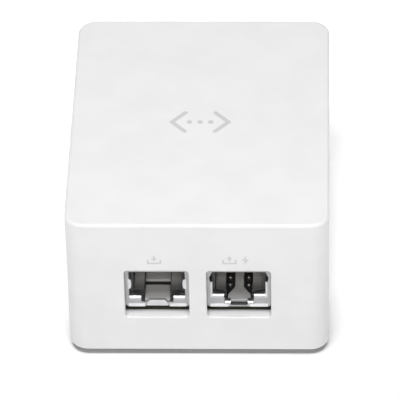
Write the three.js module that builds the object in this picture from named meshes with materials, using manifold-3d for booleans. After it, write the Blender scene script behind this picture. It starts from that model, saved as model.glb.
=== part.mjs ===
// Power-over-Ethernet injector: a rounded mains-powered box with two RJ45 jacks in its front face
// and an IEC C14 mains inlet in its back face. The "in" jack takes data and the "out" jack gives
// data and power. Millimetres, +Z up, origin at the middle of the footprint on the ground;
// the jacks face -Y and the inlet faces +Y.
import * as THREE from "three";
import { mergeVertices } from "three/addons/utils/BufferGeometryUtils.js";
import Module from "manifold-3d";

const wasm = await Module();
wasm.setup();

// ---------------------------------------------------------------- driving dimensions

const CLEARANCE = 0.3; // between pieces that touch

const CASE_WIDTH = 65;
const CASE_DEPTH = 82.4;
const CASE_TOP = 42.4;
const CASE_RIM = 1.7; // lower edge of the case
const CASE_CORNER = 4.8;
const CASE_EDGE = 0.8; // rounding of the top edge
const WALL = 2;

const BASE_BOTTOM = 0.3;
const BASE_INSET = 0.4; // the base shows under the rim as a narrower band
const BASE_FLOOR = 2.6; // top of the base's floor inside the case
const BASE_LIP_TOP = 4.6;
const BASE_LIP = 1.4; // thickness of the locating lip

const FOOT_RADIUS = 4.5;
const FOOT_HEIGHT = 1.4;
const FOOT_X = 17;
const FOOT_Y = 29;

const CASE_SCREW = { x: 25.5, y: 34, shank: 1.5, head: 2.9, headHeight: 1.7, length: 13 };
const CASE_BOSS_RADIUS = 3.5;
const CASE_BOSS_DEPTH = 12; // depth of the screw hole in each boss

const BOARD_TOP = 13.5;
const BOARD_THICKNESS = 1.6;
const BOARD_WIDTH = 59;
const BOARD_FRONT = -36.4;
const BOARD_BACK = 38.2;
const BOARD_CORNER_CUT = 8.3;
const BOARD_SCREW = { x: 25, y: 26, shank: 1.25, head: 2.6, headHeight: 1.6, length: 7 };
const BOARD_POST_RADIUS = 3.2;

const JACK_PITCH = 20.32;
const JACK_WIDTH = 15.7;
const JACK_BOTTOM = 13.8;
const JACK_TOP = 27.3;
const JACK_LENGTH = 17.5;
const JACK_RECESS = 2.1; // shield face behind the case's front face
const SHEET = 0.4; // thickness of the shield's sheet metal

const PLUG_WIDTH = 11.9; // RJ45 plug space
const PLUG_FLOOR = 17.8;
const PLUG_CEILING = 24.6;
const PLUG_DEPTH = 13.5; // measured from the shield's face
const LATCH_WIDTH = 6.35;
const LATCH_FLOOR = 16.3;
const HOOK_WIDTH = 4.2; // narrow slot that the latch's hook drops into
const HOOK_FLOOR = 14.4;
const HOUSING_START = 2; // housing face behind the shield's face

// Openings in the shields' faces: half widths, and heights where they change.
const IN_FACE = {
  half: 6.95,
  notch: { half: 4, bottom: 15.7 },
  slot: { half: 2.85, top: 14.3 },
  tab: { half: 2.3, bottom: 15.3, top: 16.5 },
  spring: { inner: 6.35, bottom: 20.1, top: 23.2, length: 1.6 },
};
const OUT_FACE = { half: 6.45, wide: { half: 7.1, bottom: 22.6 } };
const FACE_TOP = 25.6;

const WINDOW_WIDTH = 16.3; // jack cut-outs in the case's front wall
const WINDOW_BOTTOM = 12.4;
const WINDOW_TOP = 27.6;
const WINDOW_BEVEL = 0.3;
const FRAME_DEPTH = 3; // the front wall is this thick in a frame round the two windows
const FRAME_BORDER = 2;

const CONTACT_COUNT = 8;
const CONTACT_PITCH = 1.02;
const CONTACT_WIDTH = 0.45;
const CONTACT_THICKNESS = 0.3;
const CONTACT_BEND = 0.6; // radius of the bend, on the wire's middle line
const CONTACT_PIVOT_DEPTH = 4; // middle of the bend, from the shield's face
const CONTACT_PIVOT_Z = 25.2;
const CONTACT_SLOPE = THREE.MathUtils.degToRad(16);
const CONTACT_RUN = 9;

const INSERT_HALF = (CONTACT_COUNT * CONTACT_PITCH) / 2 + 0.35; // half width of the insert
const INSERT_END = 15;
const COMB_BOTTOM = 21.2;

const INLET_WIDTH = 28;
const INLET_HEIGHT = 21;
const INLET_BOTTOM = JACK_BOTTOM;
const INLET_FACE = 40.7;
const INLET_BACK = 18.5;
const INLET_CAVITY = { width: 24.6, height: 16.8, depth: 17, corner: 3.6 };
const INLET_PIN = { thick: 2, tall: 4, spacing: 7, offset: 2, tip: 2, back: 16.5, taper: 1.2 };
const INLET_EAR = { reach: 1.6, depth: 2, half: 6 }; // the side ears that press on the wall

// Components on the board: the middle of each in X and Y, then its own sizes.
const FUSE = { x: -20, y: 14.6, radius: 2.4, length: 14 };
const VARISTOR = { x: 23.2, y: 9, radius: 5, thickness: 4 };
const X_CAPACITOR = { x: -4.5, y: 13.2, width: 13, depth: 6, height: 12 };
const BRIDGE = { x: -3.5, y: 5.8, width: 12, depth: 3.4, height: 11 };
const OPTOCOUPLER = { x: -8.7, y: 0.4, width: 4.6, depth: 6, height: 3.6 };
const LAN_TRANSFORMER = { x: -20, y: -17.6, width: 16, depth: 6, height: 5.6 };
const PSE_CONTROLLER = { x: -8.9, y: -18.2, width: 5, depth: 5, height: 1 };
const BULK_CAPACITOR = { x: -19.5, y: 2.5, radius: 8, height: 23 };
const OUTPUT_CAPACITOR = { x: [-23.5, -14], y: -10.2, radius: 4, height: 14 };
const CHOKE = { x: 12, y: 10.2, outer: 6.2, inner: 3.2, height: 5, lift: 1.6, wire: 0.9, gap: 1.4 };
const CORE = { x: 5, y: -8.3, width: 21, depth: 6.5, height: 17, window: 5, leg: 3.5, middle: 6 };
const WINDING_DEPTH = 16;
const SINK = { plate: [22, 24], fins: [23.8, 28.4], y: [-18.5, 3], fin: 1.5, count: 4, height: 21 };
const PACKAGE = { x: [17.2, 21.6], width: 10, bottom: 3, top: 12, tab: 1.3, tabTop: 18, pitch: 2.54 };
const PACKAGE_Y = { transistor: -2.2, diode: -13.2 };
const SHEET_UNDER_BOARD = { x: 27.5, y: 36, drop: 2, thickness: 0.4 };

// ---------------------------------------------------------------- places worked out from them

const FRONT = -CASE_DEPTH / 2;
const BACK = CASE_DEPTH / 2;
const JACK_FACE = FRONT + JACK_RECESS;
const BOARD_BOTTOM = BOARD_TOP - BOARD_THICKNESS;
const ON_BOARD = BOARD_TOP + CLEARANCE;
const INLET_MIDDLE = INLET_BOTTOM + INLET_HEIGHT / 2;
const CORNER_SIGNS = [
  [-1, -1],
  [1, -1],
  [-1, 1],
  [1, 1],
];

// ---------------------------------------------------------------- finishes

function finish(color, roughness, metalness = 0) {
  return new THREE.MeshStandardMaterial({ color, roughness, metalness });
}

const FINISHES = {
  whitePlastic: finish(0xf1f1f1, 0.5),
  greyPlastic: finish(0x8b8b8b, 0.6),
  rubber: finish(0x55565a, 0.9),
  steel: finish(0xb9bbbd, 0.35, 0.9),
  tinnedSheet: finish(0xc9cacb, 0.3, 0.9),
  blackPlastic: finish(0x2a2b2d, 0.5),
  gold: finish(0xd6b25a, 0.3, 0.9),
  nickel: finish(0xcfcfca, 0.3, 0.9),
  board: finish(0x1e5a3a, 0.6),
  film: finish(0xe9e4cf, 0.5),
  glass: finish(0xd9e2e4, 0.15),
  ceramicBlue: finish(0x2c5fa8, 0.5),
  yellowBlock: finish(0xd8b23a, 0.5),
  ferrite: finish(0x3b3c3f, 0.6),
  tape: finish(0xe3c23c, 0.5),
  capacitorSleeve: finish(0x26313f, 0.4),
  aluminium: finish(0xb4b7ba, 0.45, 0.8),
  copper: finish(0xb8703a, 0.35, 0.8),
};

// ---------------------------------------------------------------- solids

function solid(geometry) {
  const bare = geometry.index ? geometry.toNonIndexed() : geometry.clone();
  bare.deleteAttribute("normal");
  bare.deleteAttribute("uv");
  const merged = mergeVertices(bare, 1e-4);
  return new wasm.Manifold(
    new wasm.Mesh({
      numProp: 3,
      vertProperties: merged.getAttribute("position").array,
      triVerts: new Uint32Array(merged.index.array),
    }),
  );
}

function cut(body, ...tools) {
  return tools.reduce((rest, tool) => rest.subtract(tool), body);
}

function join(body, ...others) {
  return others.reduce((whole, other) => whole.add(other), body);
}

// A box from its limits on each axis.
function box([x0, x1], [y0, y1], [z0, z1]) {
  const geometry = new THREE.BoxGeometry(x1 - x0, y1 - y0, z1 - z0);
  geometry.translate((x0 + x1) / 2, (y0 + y1) / 2, (z0 + z1) / 2);
  return solid(geometry);
}

// A box that runs along Y from one rectangle to another: { y, x: [low, high], z: [low, high] }.
function taperedBox(front, back) {
  const geometry = new THREE.BoxGeometry(1, 1, 1);
  const place = geometry.getAttribute("position");
  for (let i = 0; i < place.count; i++) {
    const end = place.getY(i) < 0 ? front : back;
    const x = end.x[place.getX(i) < 0 ? 0 : 1];
    const z = end.z[place.getZ(i) < 0 ? 0 : 1];
    place.setXYZ(i, x, end.y, z);
  }
  return solid(geometry);
}

// An upright cylinder.
function post(x, y, radius, z0, z1, sides = 24) {
  const geometry = new THREE.CylinderGeometry(radius, radius, z1 - z0, sides);
  geometry.rotateX(Math.PI / 2);
  geometry.translate(x, y, (z0 + z1) / 2);
  return solid(geometry);
}

// A rounded rectangle about the origin.
function roundedRectangle(width, depth, radius) {
  const x = width / 2;
  const y = depth / 2;
  const shape = new THREE.Shape();
  shape.absarc(x - radius, y - radius, radius, 0, Math.PI / 2, false);
  shape.absarc(radius - x, y - radius, radius, Math.PI / 2, Math.PI, false);
  shape.absarc(radius - x, radius - y, radius, Math.PI, 1.5 * Math.PI, false);
  shape.absarc(x - radius, radius - y, radius, 1.5 * Math.PI, 2 * Math.PI, false);
  return shape;
}

// A shape in X and Y raised from z0 to z1.
function slab(shape, z0, z1, curveSegments = 8) {
  const geometry = new THREE.ExtrudeGeometry(shape, {
    depth: z1 - z0,
    bevelEnabled: false,
    curveSegments,
  });
  geometry.translate(0, 0, z0);
  return solid(geometry);
}

// A shape in Y and Z extruded along X, centred on x.
function profile(shape, x, width, curveSegments = 8) {
  const geometry = new THREE.ExtrudeGeometry(shape, {
    depth: width,
    bevelEnabled: false,
    curveSegments,
  });
  geometry.rotateX(Math.PI / 2);
  geometry.rotateZ(Math.PI / 2);
  geometry.translate(x - width / 2, 0, 0);
  return solid(geometry);
}

// A shape in X and Z extruded along +Y from y0 to y1.
function panel(shape, y0, y1, curveSegments = 6) {
  const geometry = new THREE.ExtrudeGeometry(shape, {
    depth: y1 - y0,
    bevelEnabled: false,
    curveSegments,
  });
  geometry.rotateX(Math.PI / 2);
  geometry.translate(0, y1, 0);
  return solid(geometry);
}

// ---------------------------------------------------------------- the group

const injector = new THREE.Group();
injector.name = "poe_injector";

function add(name, body, material) {
  const made = body.getMesh();
  const geometry = new THREE.BufferGeometry();
  geometry.setAttribute("position", new THREE.BufferAttribute(made.vertProperties, 3));
  geometry.setIndex(new THREE.BufferAttribute(made.triVerts, 1));
  const mesh = new THREE.Mesh(geometry, material);
  mesh.name = name;
  injector.add(mesh);
}

// ---------------------------------------------------------------- casing

function jackCentre(side) {
  return (side * JACK_PITCH) / 2;
}

// The cut through the front wall for one jack, with its flared outer edge.
function jackWindow(side) {
  const x = jackCentre(side);
  const half = WINDOW_WIDTH / 2;
  const ahead = 1; // the cut starts this far in front of the wall
  const flare = WINDOW_BEVEL + ahead;
  return join(
    box([x - half, x + half], [FRONT - ahead, FRONT + FRAME_DEPTH + 1], [WINDOW_BOTTOM, WINDOW_TOP]),
    taperedBox(
      {
        y: FRONT - ahead,
        x: [x - half - flare, x + half + flare],
        z: [WINDOW_BOTTOM - flare, WINDOW_TOP + flare],
      },
      {
        y: FRONT + WINDOW_BEVEL,
        x: [x - half, x + half],
        z: [WINDOW_BOTTOM, WINDOW_TOP],
      },
    ),
  );
}

// The thicker frame inside the front wall, round both windows.
function windowFrame() {
  const half = JACK_PITCH / 2 + WINDOW_WIDTH / 2 + FRAME_BORDER;
  return box(
    [-half, half],
    [FRONT + WALL / 2, FRONT + FRAME_DEPTH],
    [WINDOW_BOTTOM - FRAME_BORDER, WINDOW_TOP + FRAME_BORDER],
  );
}

function inletWindow() {
  const half = INLET_WIDTH / 2 + CLEARANCE;
  return box(
    [-half, half],
    [BACK - WALL - 1, BACK + 1],
    [INLET_BOTTOM - CLEARANCE, INLET_BOTTOM + INLET_HEIGHT + CLEARANCE],
  );
}

function upperCase() {
  const outline = roundedRectangle(CASE_WIDTH, CASE_DEPTH, CASE_CORNER);
  const block = new THREE.ExtrudeGeometry(outline, {
    depth: CASE_TOP - CASE_RIM - CASE_EDGE,
    bevelThickness: CASE_EDGE,
    bevelSize: CASE_EDGE,
    bevelOffset: -CASE_EDGE,
    bevelSegments: 3,
    curveSegments: 8,
  });
  block.translate(0, 0, CASE_RIM);
  const below = box([-50, 50], [-50, 50], [CASE_RIM - 5, CASE_RIM]);
  const hollow = slab(
    roundedRectangle(CASE_WIDTH - 2 * WALL, CASE_DEPTH - 2 * WALL, CASE_CORNER - WALL),
    CASE_RIM - 1,
    CASE_TOP - WALL,
  );
  let body = join(cut(solid(block), below, hollow), windowFrame());
  for (const [sx, sy] of CORNER_SIGNS) {
    const x = sx * CASE_SCREW.x;
    const y = sy * CASE_SCREW.y;
    const foot = BASE_LIP_TOP + CLEARANCE;
    const hole = CASE_SCREW.shank + CLEARANCE;
    body = join(body, post(x, y, CASE_BOSS_RADIUS, foot, CASE_TOP - WALL / 2));
    body = cut(body, post(x, y, hole, foot - 1, foot + CASE_BOSS_DEPTH));
  }
  return cut(body, jackWindow(-1), jackWindow(1), inletWindow());
}

function basePlate() {
  const flange = roundedRectangle(
    CASE_WIDTH - 2 * BASE_INSET,
    CASE_DEPTH - 2 * BASE_INSET,
    CASE_CORNER - BASE_INSET,
  );
  const gap = WALL + CLEARANCE;
  const inner = roundedRectangle(CASE_WIDTH - 2 * gap, CASE_DEPTH - 2 * gap, CASE_CORNER - gap);
  const lip = gap + BASE_LIP;
  const well = roundedRectangle(CASE_WIDTH - 2 * lip, CASE_DEPTH - 2 * lip, CASE_CORNER - lip);
  const underRim = CASE_RIM - CLEARANCE;
  let body = join(
    slab(flange, BASE_BOTTOM, underRim),
    cut(slab(inner, underRim - 0.1, BASE_LIP_TOP), slab(well, BASE_FLOOR, BASE_LIP_TOP + 1)),
  );
  const webBottom = BASE_BOTTOM + CASE_SCREW.headHeight + 2 * CLEARANCE;
  for (const [sx, sy] of CORNER_SIGNS) {
    const x = sx * CASE_SCREW.x;
    const y = sy * CASE_SCREW.y;
    body = join(body, post(x, y, CASE_SCREW.head + 1.3, BASE_FLOOR - 1, BASE_LIP_TOP));
    body = cut(
      body,
      post(x, y, CASE_SCREW.head + 0.4, BASE_BOTTOM - 1, webBottom),
      post(x, y, CASE_SCREW.shank + CLEARANCE, BASE_BOTTOM - 1, BASE_LIP_TOP + 1),
    );
    const postX = sx * BOARD_SCREW.x;
    const postY = sy * BOARD_SCREW.y;
    const postTop = BOARD_BOTTOM - CLEARANCE;
    const pilot = BOARD_SCREW.shank + CLEARANCE;
    body = join(body, post(postX, postY, BOARD_POST_RADIUS, BASE_FLOOR - 1, postTop));
    body = cut(body, post(postX, postY, pilot, BASE_FLOOR + 1, postTop + 1));
    const pocket = FOOT_HEIGHT + CLEARANCE;
    body = cut(
      body,
      post(sx * FOOT_X, sy * FOOT_Y, FOOT_RADIUS + CLEARANCE, BASE_BOTTOM - 1, pocket),
    );
  }
  return body;
}

function addCasing() {
  add("upper_case", upperCase(), FINISHES.whitePlastic);
  add("base_plate", basePlate(), FINISHES.greyPlastic);
  CORNER_SIGNS.forEach(([sx, sy], i) => {
    const foot = post(sx * FOOT_X, sy * FOOT_Y, FOOT_RADIUS, 0, FOOT_HEIGHT, 28);
    add("rubber_foot_" + (i + 1), foot, FINISHES.rubber);
    const screw = screwFromBelow(sx * CASE_SCREW.x, sy * CASE_SCREW.y);
    add("case_screw_" + (i + 1), screw, FINISHES.steel);
  });
}

// A cross recess for a screw head: two crossed slots.
function crossRecess(x, y, size, z0, z1) {
  const long = size;
  const thin = size / 4;
  return join(
    box([x - long, x + long], [y - thin, y + thin], [z0, z1]),
    box([x - thin, x + thin], [y - long, y + long], [z0, z1]),
  );
}

function screwFromBelow(x, y) {
  const z0 = BASE_BOTTOM + CLEARANCE;
  const z1 = z0 + CASE_SCREW.headHeight;
  const body = join(
    post(x, y, CASE_SCREW.head, z0, z1, 20),
    post(x, y, CASE_SCREW.shank, z1 - 0.2, z1 + CASE_SCREW.length, 16),
  );
  return cut(body, crossRecess(x, y, CASE_SCREW.head * 0.5, z0 - 1, z0 + 1));
}

function screwFromAbove(x, y) {
  const z0 = BOARD_TOP + CLEARANCE;
  const z1 = z0 + BOARD_SCREW.headHeight;
  const body = join(
    post(x, y, BOARD_SCREW.head, z0, z1, 20),
    post(x, y, BOARD_SCREW.shank, z0 - BOARD_SCREW.length, z0 + 0.2, 16),
  );
  return cut(body, crossRecess(x, y, BOARD_SCREW.head * 0.5, z1 - 1, z1 + 1));
}

// ---------------------------------------------------------------- jacks

// Where the metal shield is open at its face.
function shieldFaceCut(x, kind) {
  const across = (half) => [x - half, x + half];
  const y = [JACK_FACE - 1, JACK_FACE + SHEET + 0.2];
  if (kind === "in") {
    const { notch, slot } = IN_FACE;
    return join(
      box(across(IN_FACE.half), y, [PLUG_FLOOR, FACE_TOP]),
      box(across(notch.half), y, [notch.bottom, PLUG_FLOOR + 0.1]),
      box(across(slot.half), y, [JACK_BOTTOM - 1, slot.top]),
    );
  }
  const { wide } = OUT_FACE;
  return join(
    box(across(OUT_FACE.half), y, [PLUG_FLOOR, FACE_TOP]),
    box(across(wide.half), y, [wide.bottom, FACE_TOP]),
    box(across(LATCH_WIDTH / 2), y, [LATCH_FLOOR, PLUG_FLOOR + 0.1]),
    box(across(HOOK_WIDTH / 2), y, [HOOK_FLOOR, LATCH_FLOOR + 0.1]),
  );
}

// The "in" shield's two side springs, bent inwards from the face, and its middle tab.
function inShieldSprings(x) {
  const { spring, tab } = IN_FACE;
  const z = [spring.bottom, spring.top];
  const root = IN_FACE.half + 0.25;
  const sheet = [JACK_FACE, JACK_FACE + SHEET];
  const springs = [-1, 1].map((side) => {
    const across = (a, b) => (side < 0 ? [x - b, x - a] : [x + a, x + b]);
    return join(
      box(across(spring.inner, root), sheet, z),
      box(across(spring.inner, spring.inner + SHEET), [JACK_FACE, JACK_FACE + spring.length], z),
    );
  });
  return [...springs, box([x - tab.half, x + tab.half], sheet, [tab.bottom, tab.top])];
}

function shield(side, kind) {
  const x = jackCentre(side);
  const half = JACK_WIDTH / 2;
  const back = JACK_FACE + JACK_LENGTH;
  const shell = cut(
    box([x - half, x + half], [JACK_FACE, back], [JACK_BOTTOM, JACK_TOP]),
    box(
      [x - half + SHEET, x + half - SHEET],
      [JACK_FACE + SHEET, back - SHEET],
      [JACK_BOTTOM - 1, JACK_TOP - SHEET],
    ),
    shieldFaceCut(x, kind),
  );
  return kind === "in" ? join(shell, ...inShieldSprings(x)) : shell;
}

// The housing: a block with the plug's space, the latch's steps and a chamber for the contacts.
function housing(side) {
  const x = jackCentre(side);
  const half = JACK_WIDTH / 2 - SHEET - CLEARANCE;
  const face = JACK_FACE + HOUSING_START;
  const back = JACK_FACE + JACK_LENGTH - SHEET - CLEARANCE;
  const deep = JACK_FACE + PLUG_DEPTH;
  const mouth = [face - 1, deep];
  const chamber = INSERT_HALF + CLEARANCE;
  const rear = JACK_FACE + INSERT_END + CLEARANCE;
  return cut(
    box([x - half, x + half], [face, back], [JACK_BOTTOM, JACK_TOP - SHEET - CLEARANCE]),
    box([x - PLUG_WIDTH / 2, x + PLUG_WIDTH / 2], mouth, [PLUG_FLOOR, PLUG_CEILING]),
    box([x - LATCH_WIDTH / 2, x + LATCH_WIDTH / 2], mouth, [LATCH_FLOOR, PLUG_FLOOR + 0.1]),
    box(
      [x - HOOK_WIDTH / 2, x + HOOK_WIDTH / 2],
      [face - 1, deep - 4],
      [JACK_BOTTOM - 1, LATCH_FLOOR + 0.1],
    ),
    box([x - chamber, x + chamber], [face + 0.9, rear], [PLUG_CEILING - 0.1, JACK_TOP]),
    box([x - chamber, x + chamber], [deep - 0.1, rear], [COMB_BOTTOM - CLEARANCE, JACK_TOP]),
  );
}

// The moulding that holds the fixed ends of the eight contacts. Its comb keeps their tips apart.
function contactInsert(side) {
  const x = jackCentre(side);
  const across = [x - INSERT_HALF, x + INSERT_HALF];
  const start = JACK_FACE + CONTACT_PIVOT_DEPTH + CLEARANCE;
  const end = JACK_FACE + INSERT_END;
  const comb = JACK_FACE + PLUG_DEPTH + CLEARANCE;
  const under = CONTACT_PIVOT_Z - 0.1;
  const tooth = 0.12;
  const teeth = [];
  for (let i = 0; i <= CONTACT_COUNT; i++) {
    const middle = x + (i - CONTACT_COUNT / 2) * CONTACT_PITCH;
    teeth.push(box([middle - tooth, middle + tooth], [comb - 1.8, end], [COMB_BOTTOM, under + 0.1]));
  }
  return join(
    box(across, [start, end], [under, JACK_TOP - 1]),
    box(across, [comb, end], [COMB_BOTTOM, under + 0.1]),
    ...teeth,
  );
}

// One contact: a flat wire that bends back under the insert and slopes down into the plug's space.
function contact(x) {
  const outer = CONTACT_BEND + CONTACT_THICKNESS / 2;
  const inner = CONTACT_BEND - CONTACT_THICKNESS / 2;
  const start = Math.PI / 2;
  const end = 1.5 * Math.PI - CONTACT_SLOPE;
  const run = new THREE.Vector2(Math.cos(CONTACT_SLOPE), -Math.sin(CONTACT_SLOPE));
  const edge = (radius) => new THREE.Vector2(Math.cos(end), Math.sin(end)).multiplyScalar(radius);
  const tip = (radius) => edge(radius).addScaledVector(run, CONTACT_RUN);
  const shape = new THREE.Shape();
  shape.absarc(0, 0, outer, start, end, false);
  shape.lineTo(tip(outer).x, tip(outer).y);
  shape.lineTo(tip(inner).x, tip(inner).y);
  shape.absarc(0, 0, inner, end, start, true);
  const wire = profile(shape, x, CONTACT_WIDTH, 5);
  return wire.translate([0, JACK_FACE + CONTACT_PIVOT_DEPTH, CONTACT_PIVOT_Z]);
}

function addJack(side, kind) {
  add(kind + "_jack_shield", shield(side, kind), FINISHES.tinnedSheet);
  add(kind + "_jack_housing", housing(side), FINISHES.blackPlastic);
  add(kind + "_jack_insert", contactInsert(side), FINISHES.blackPlastic);
  for (let i = 0; i < CONTACT_COUNT; i++) {
    const x = jackCentre(side) + (i - (CONTACT_COUNT - 1) / 2) * CONTACT_PITCH;
    add(kind + "_contact_" + (i + 1), contact(x), FINISHES.gold);
  }
}

// ---------------------------------------------------------------- mains inlet

// The inlet's outline: a rectangle with its two upper corners cut off.
function inletOutline(width, height, corner) {
  const x = width / 2;
  const z = height / 2;
  const shape = new THREE.Shape();
  shape.moveTo(-x, -z);
  shape.lineTo(x, -z);
  shape.lineTo(x, z - corner);
  shape.lineTo(x - corner, z);
  shape.lineTo(corner - x, z);
  shape.lineTo(-x, z - corner);
  shape.closePath();
  return shape;
}

// Left, right and middle pins; the earth pin in the middle is set higher.
const INLET_PINS = [
  { name: "inlet_pin_line", x: -INLET_PIN.spacing, z: INLET_MIDDLE - INLET_PIN.offset },
  { name: "inlet_pin_neutral", x: INLET_PIN.spacing, z: INLET_MIDDLE - INLET_PIN.offset },
  { name: "inlet_pin_earth", x: 0, z: INLET_MIDDLE + INLET_PIN.offset },
];

function pinSection(pin, grow) {
  return {
    x: [pin.x - INLET_PIN.thick / 2 - grow, pin.x + INLET_PIN.thick / 2 + grow],
    z: [pin.z - INLET_PIN.tall / 2 - grow, pin.z + INLET_PIN.tall / 2 + grow],
  };
}

function inletBody() {
  const block = panel(inletOutline(INLET_WIDTH, INLET_HEIGHT, 2), INLET_BACK, INLET_FACE);
  const cavity = panel(
    inletOutline(INLET_CAVITY.width, INLET_CAVITY.height, INLET_CAVITY.corner),
    INLET_FACE - INLET_CAVITY.depth,
    INLET_FACE + 1,
  );
  const ear = WALL - (BACK - INLET_FACE) + CLEARANCE;
  const earHalf = INLET_WIDTH / 2 + INLET_EAR.reach;
  const ears = box(
    [-earHalf, earHalf],
    [INLET_FACE - ear - INLET_EAR.depth, INLET_FACE - ear],
    [-INLET_EAR.half, INLET_EAR.half],
  );
  const body = cut(join(block, ears), cavity).translate([0, 0, INLET_MIDDLE]);
  const slots = INLET_PINS.map((pin) => {
    const { x, z } = pinSection(pin, CLEARANCE);
    return box(x, [INLET_BACK - 1, INLET_FACE - INLET_CAVITY.depth + 1], z);
  });
  return cut(body, ...slots);
}

function inletPin(pin) {
  const { x, z } = pinSection(pin, 0);
  const tip = INLET_FACE - INLET_PIN.tip;
  const shoulder = tip - INLET_PIN.taper;
  const nose = pinSection(pin, -0.5);
  return join(
    box(x, [INLET_PIN.back, shoulder], z),
    taperedBox({ y: shoulder, x, z }, { y: tip, x: nose.x, z: nose.z }),
  );
}

function addInlet() {
  add("inlet_body", inletBody(), FINISHES.blackPlastic);
  INLET_PINS.forEach((pin) => add(pin.name, inletPin(pin), FINISHES.nickel));
}

// ---------------------------------------------------------------- board and what is on it

function mainBoard() {
  const half = BOARD_WIDTH / 2;
  const z = [BOARD_BOTTOM, BOARD_TOP];
  let body = box([-half, half], [BOARD_FRONT, BOARD_BACK], z);
  for (const [sx, sy] of CORNER_SIGNS) {
    const edgeX = sx * half;
    const edgeY = sy * BOARD_BACK;
    const cornerX = [edgeX - BOARD_CORNER_CUT, edgeX + BOARD_CORNER_CUT];
    const cornerY = [edgeY - BOARD_CORNER_CUT, edgeY + BOARD_CORNER_CUT];
    const hole = BOARD_SCREW.shank + CLEARANCE;
    body = cut(
      body,
      box(cornerX, cornerY, [BOARD_BOTTOM - 1, BOARD_TOP + 1]),
      post(sx * BOARD_SCREW.x, sy * BOARD_SCREW.y, hole, BOARD_BOTTOM - 1, BOARD_TOP + 1),
    );
  }
  return body;
}

// The fibre sheet between the board's underside and the base, notched round the corner posts.
function insulationSheet() {
  const { x, y, drop, thickness } = SHEET_UNDER_BOARD;
  const top = BOARD_BOTTOM - drop;
  const z = [top - thickness, top];
  const notchX = x - BOARD_SCREW.x + BOARD_POST_RADIUS + 1;
  const notchY = y - BOARD_SCREW.y + BOARD_POST_RADIUS + 1;
  const notches = CORNER_SIGNS.map(([sx, sy]) =>
    box(
      [sx * x - notchX, sx * x + notchX],
      [sy * y - notchY, sy * y + notchY],
      [z[0] - 1, z[1] + 1],
    ),
  );
  return cut(box([-x, x], [-y, y], z), ...notches);
}

// A component that is a plain block standing on the board.
function block({ x, y, width, depth, height }) {
  return box(
    [x - width / 2, x + width / 2],
    [y - depth / 2, y + depth / 2],
    [ON_BOARD, ON_BOARD + height],
  );
}

// A disc that stands on edge, facing along X.
function standingDisc({ x, y, radius, thickness }) {
  const geometry = new THREE.CylinderGeometry(radius, radius, thickness, 24);
  geometry.rotateZ(Math.PI / 2);
  geometry.translate(x, y, ON_BOARD + radius);
  return solid(geometry);
}

function electrolytic({ x, y, radius, height }) {
  const dome = new THREE.LatheGeometry(
    [
      new THREE.Vector2(0, 0),
      new THREE.Vector2(radius - 0.6, 0),
      new THREE.Vector2(radius, 0.6),
      new THREE.Vector2(radius, 1.6),
      new THREE.Vector2(radius - 0.5, 2.2),
      new THREE.Vector2(radius, 2.8),
      new THREE.Vector2(radius, height - 0.8),
      new THREE.Vector2(radius - 0.8, height),
      new THREE.Vector2(0, height),
    ],
    28,
  );
  dome.rotateX(Math.PI / 2);
  dome.translate(x, y, ON_BOARD);
  return solid(dome);
}

function fuse() {
  const { x, y, radius, length } = FUSE;
  const geometry = new THREE.CylinderGeometry(radius, radius, length, 20);
  geometry.rotateZ(Math.PI / 2);
  geometry.translate(x, y, ON_BOARD + radius);
  return solid(geometry);
}

// A toroid core that lies flat, and its two windings as sleeves round the core's two halves.
function ring(outer, inner, z0, z1) {
  return cut(
    post(CHOKE.x, CHOKE.y, outer, z0, z1, 32),
    post(CHOKE.x, CHOKE.y, inner, z0 - 1, z1 + 1, 24),
  );
}

function chokeCore() {
  const z0 = ON_BOARD + CHOKE.lift;
  return ring(CHOKE.outer, CHOKE.inner, z0, z0 + CHOKE.height);
}

function chokeWinding(side) {
  const z0 = ON_BOARD + CHOKE.lift;
  const z1 = z0 + CHOKE.height;
  const grow = CLEARANCE + CHOKE.wire;
  const shell = cut(
    ring(CHOKE.outer + grow, CHOKE.inner - grow, z0 - grow, z1 + grow),
    ring(CHOKE.outer + CLEARANCE, CHOKE.inner - CLEARANCE, z0 - CLEARANCE, z1 + CLEARANCE),
  );
  const { x, gap } = CHOKE;
  const keep = side < 0 ? [x - 20, x - gap] : [x + gap, x + 20];
  return shell.intersect(box(keep, [CHOKE.y - 20, CHOKE.y + 20], [z0 - 5, z1 + 5]));
}

// A ferrite transformer: a core of two E halves round a winding on its middle leg.
function transformerCore() {
  const { x, y, depth, height, window, leg, middle } = CORE;
  const windows = [-1, 1].map((side) => {
    const near = x + (side * middle) / 2;
    const far = near + side * window;
    return box(
      [Math.min(near, far), Math.max(near, far)],
      [y - depth, y + depth],
      [ON_BOARD + leg, ON_BOARD + height - leg],
    );
  });
  return cut(block(CORE), ...windows);
}

function transformerWinding() {
  const { x, y, height, window, leg, middle } = CORE;
  const half = middle / 2 + CLEARANCE;
  const outer = middle / 2 + window - CLEARANCE;
  const z = [ON_BOARD + leg + CLEARANCE, ON_BOARD + height - leg - CLEARANCE];
  const through = CORE.depth / 2 + CLEARANCE;
  return cut(
    box([x - outer, x + outer], [y - WINDING_DEPTH / 2, y + WINDING_DEPTH / 2], z),
    box([x - half, x + half], [y - through, y + through], [z[0] - 1, z[1] + 1]),
  );
}

// A finned heat sink that stands along Y, with its flat side towards -X.
function heatSink() {
  const { plate, fins, y, fin, count, height } = SINK;
  const z = [ON_BOARD, ON_BOARD + height];
  const step = (y[1] - fin - y[0]) / (count - 1);
  let body = box(plate, y, z);
  for (let i = 0; i < count; i++) {
    const start = y[0] + i * step;
    body = join(body, box(fins, [start, start + fin], z));
  }
  return body;
}

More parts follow.
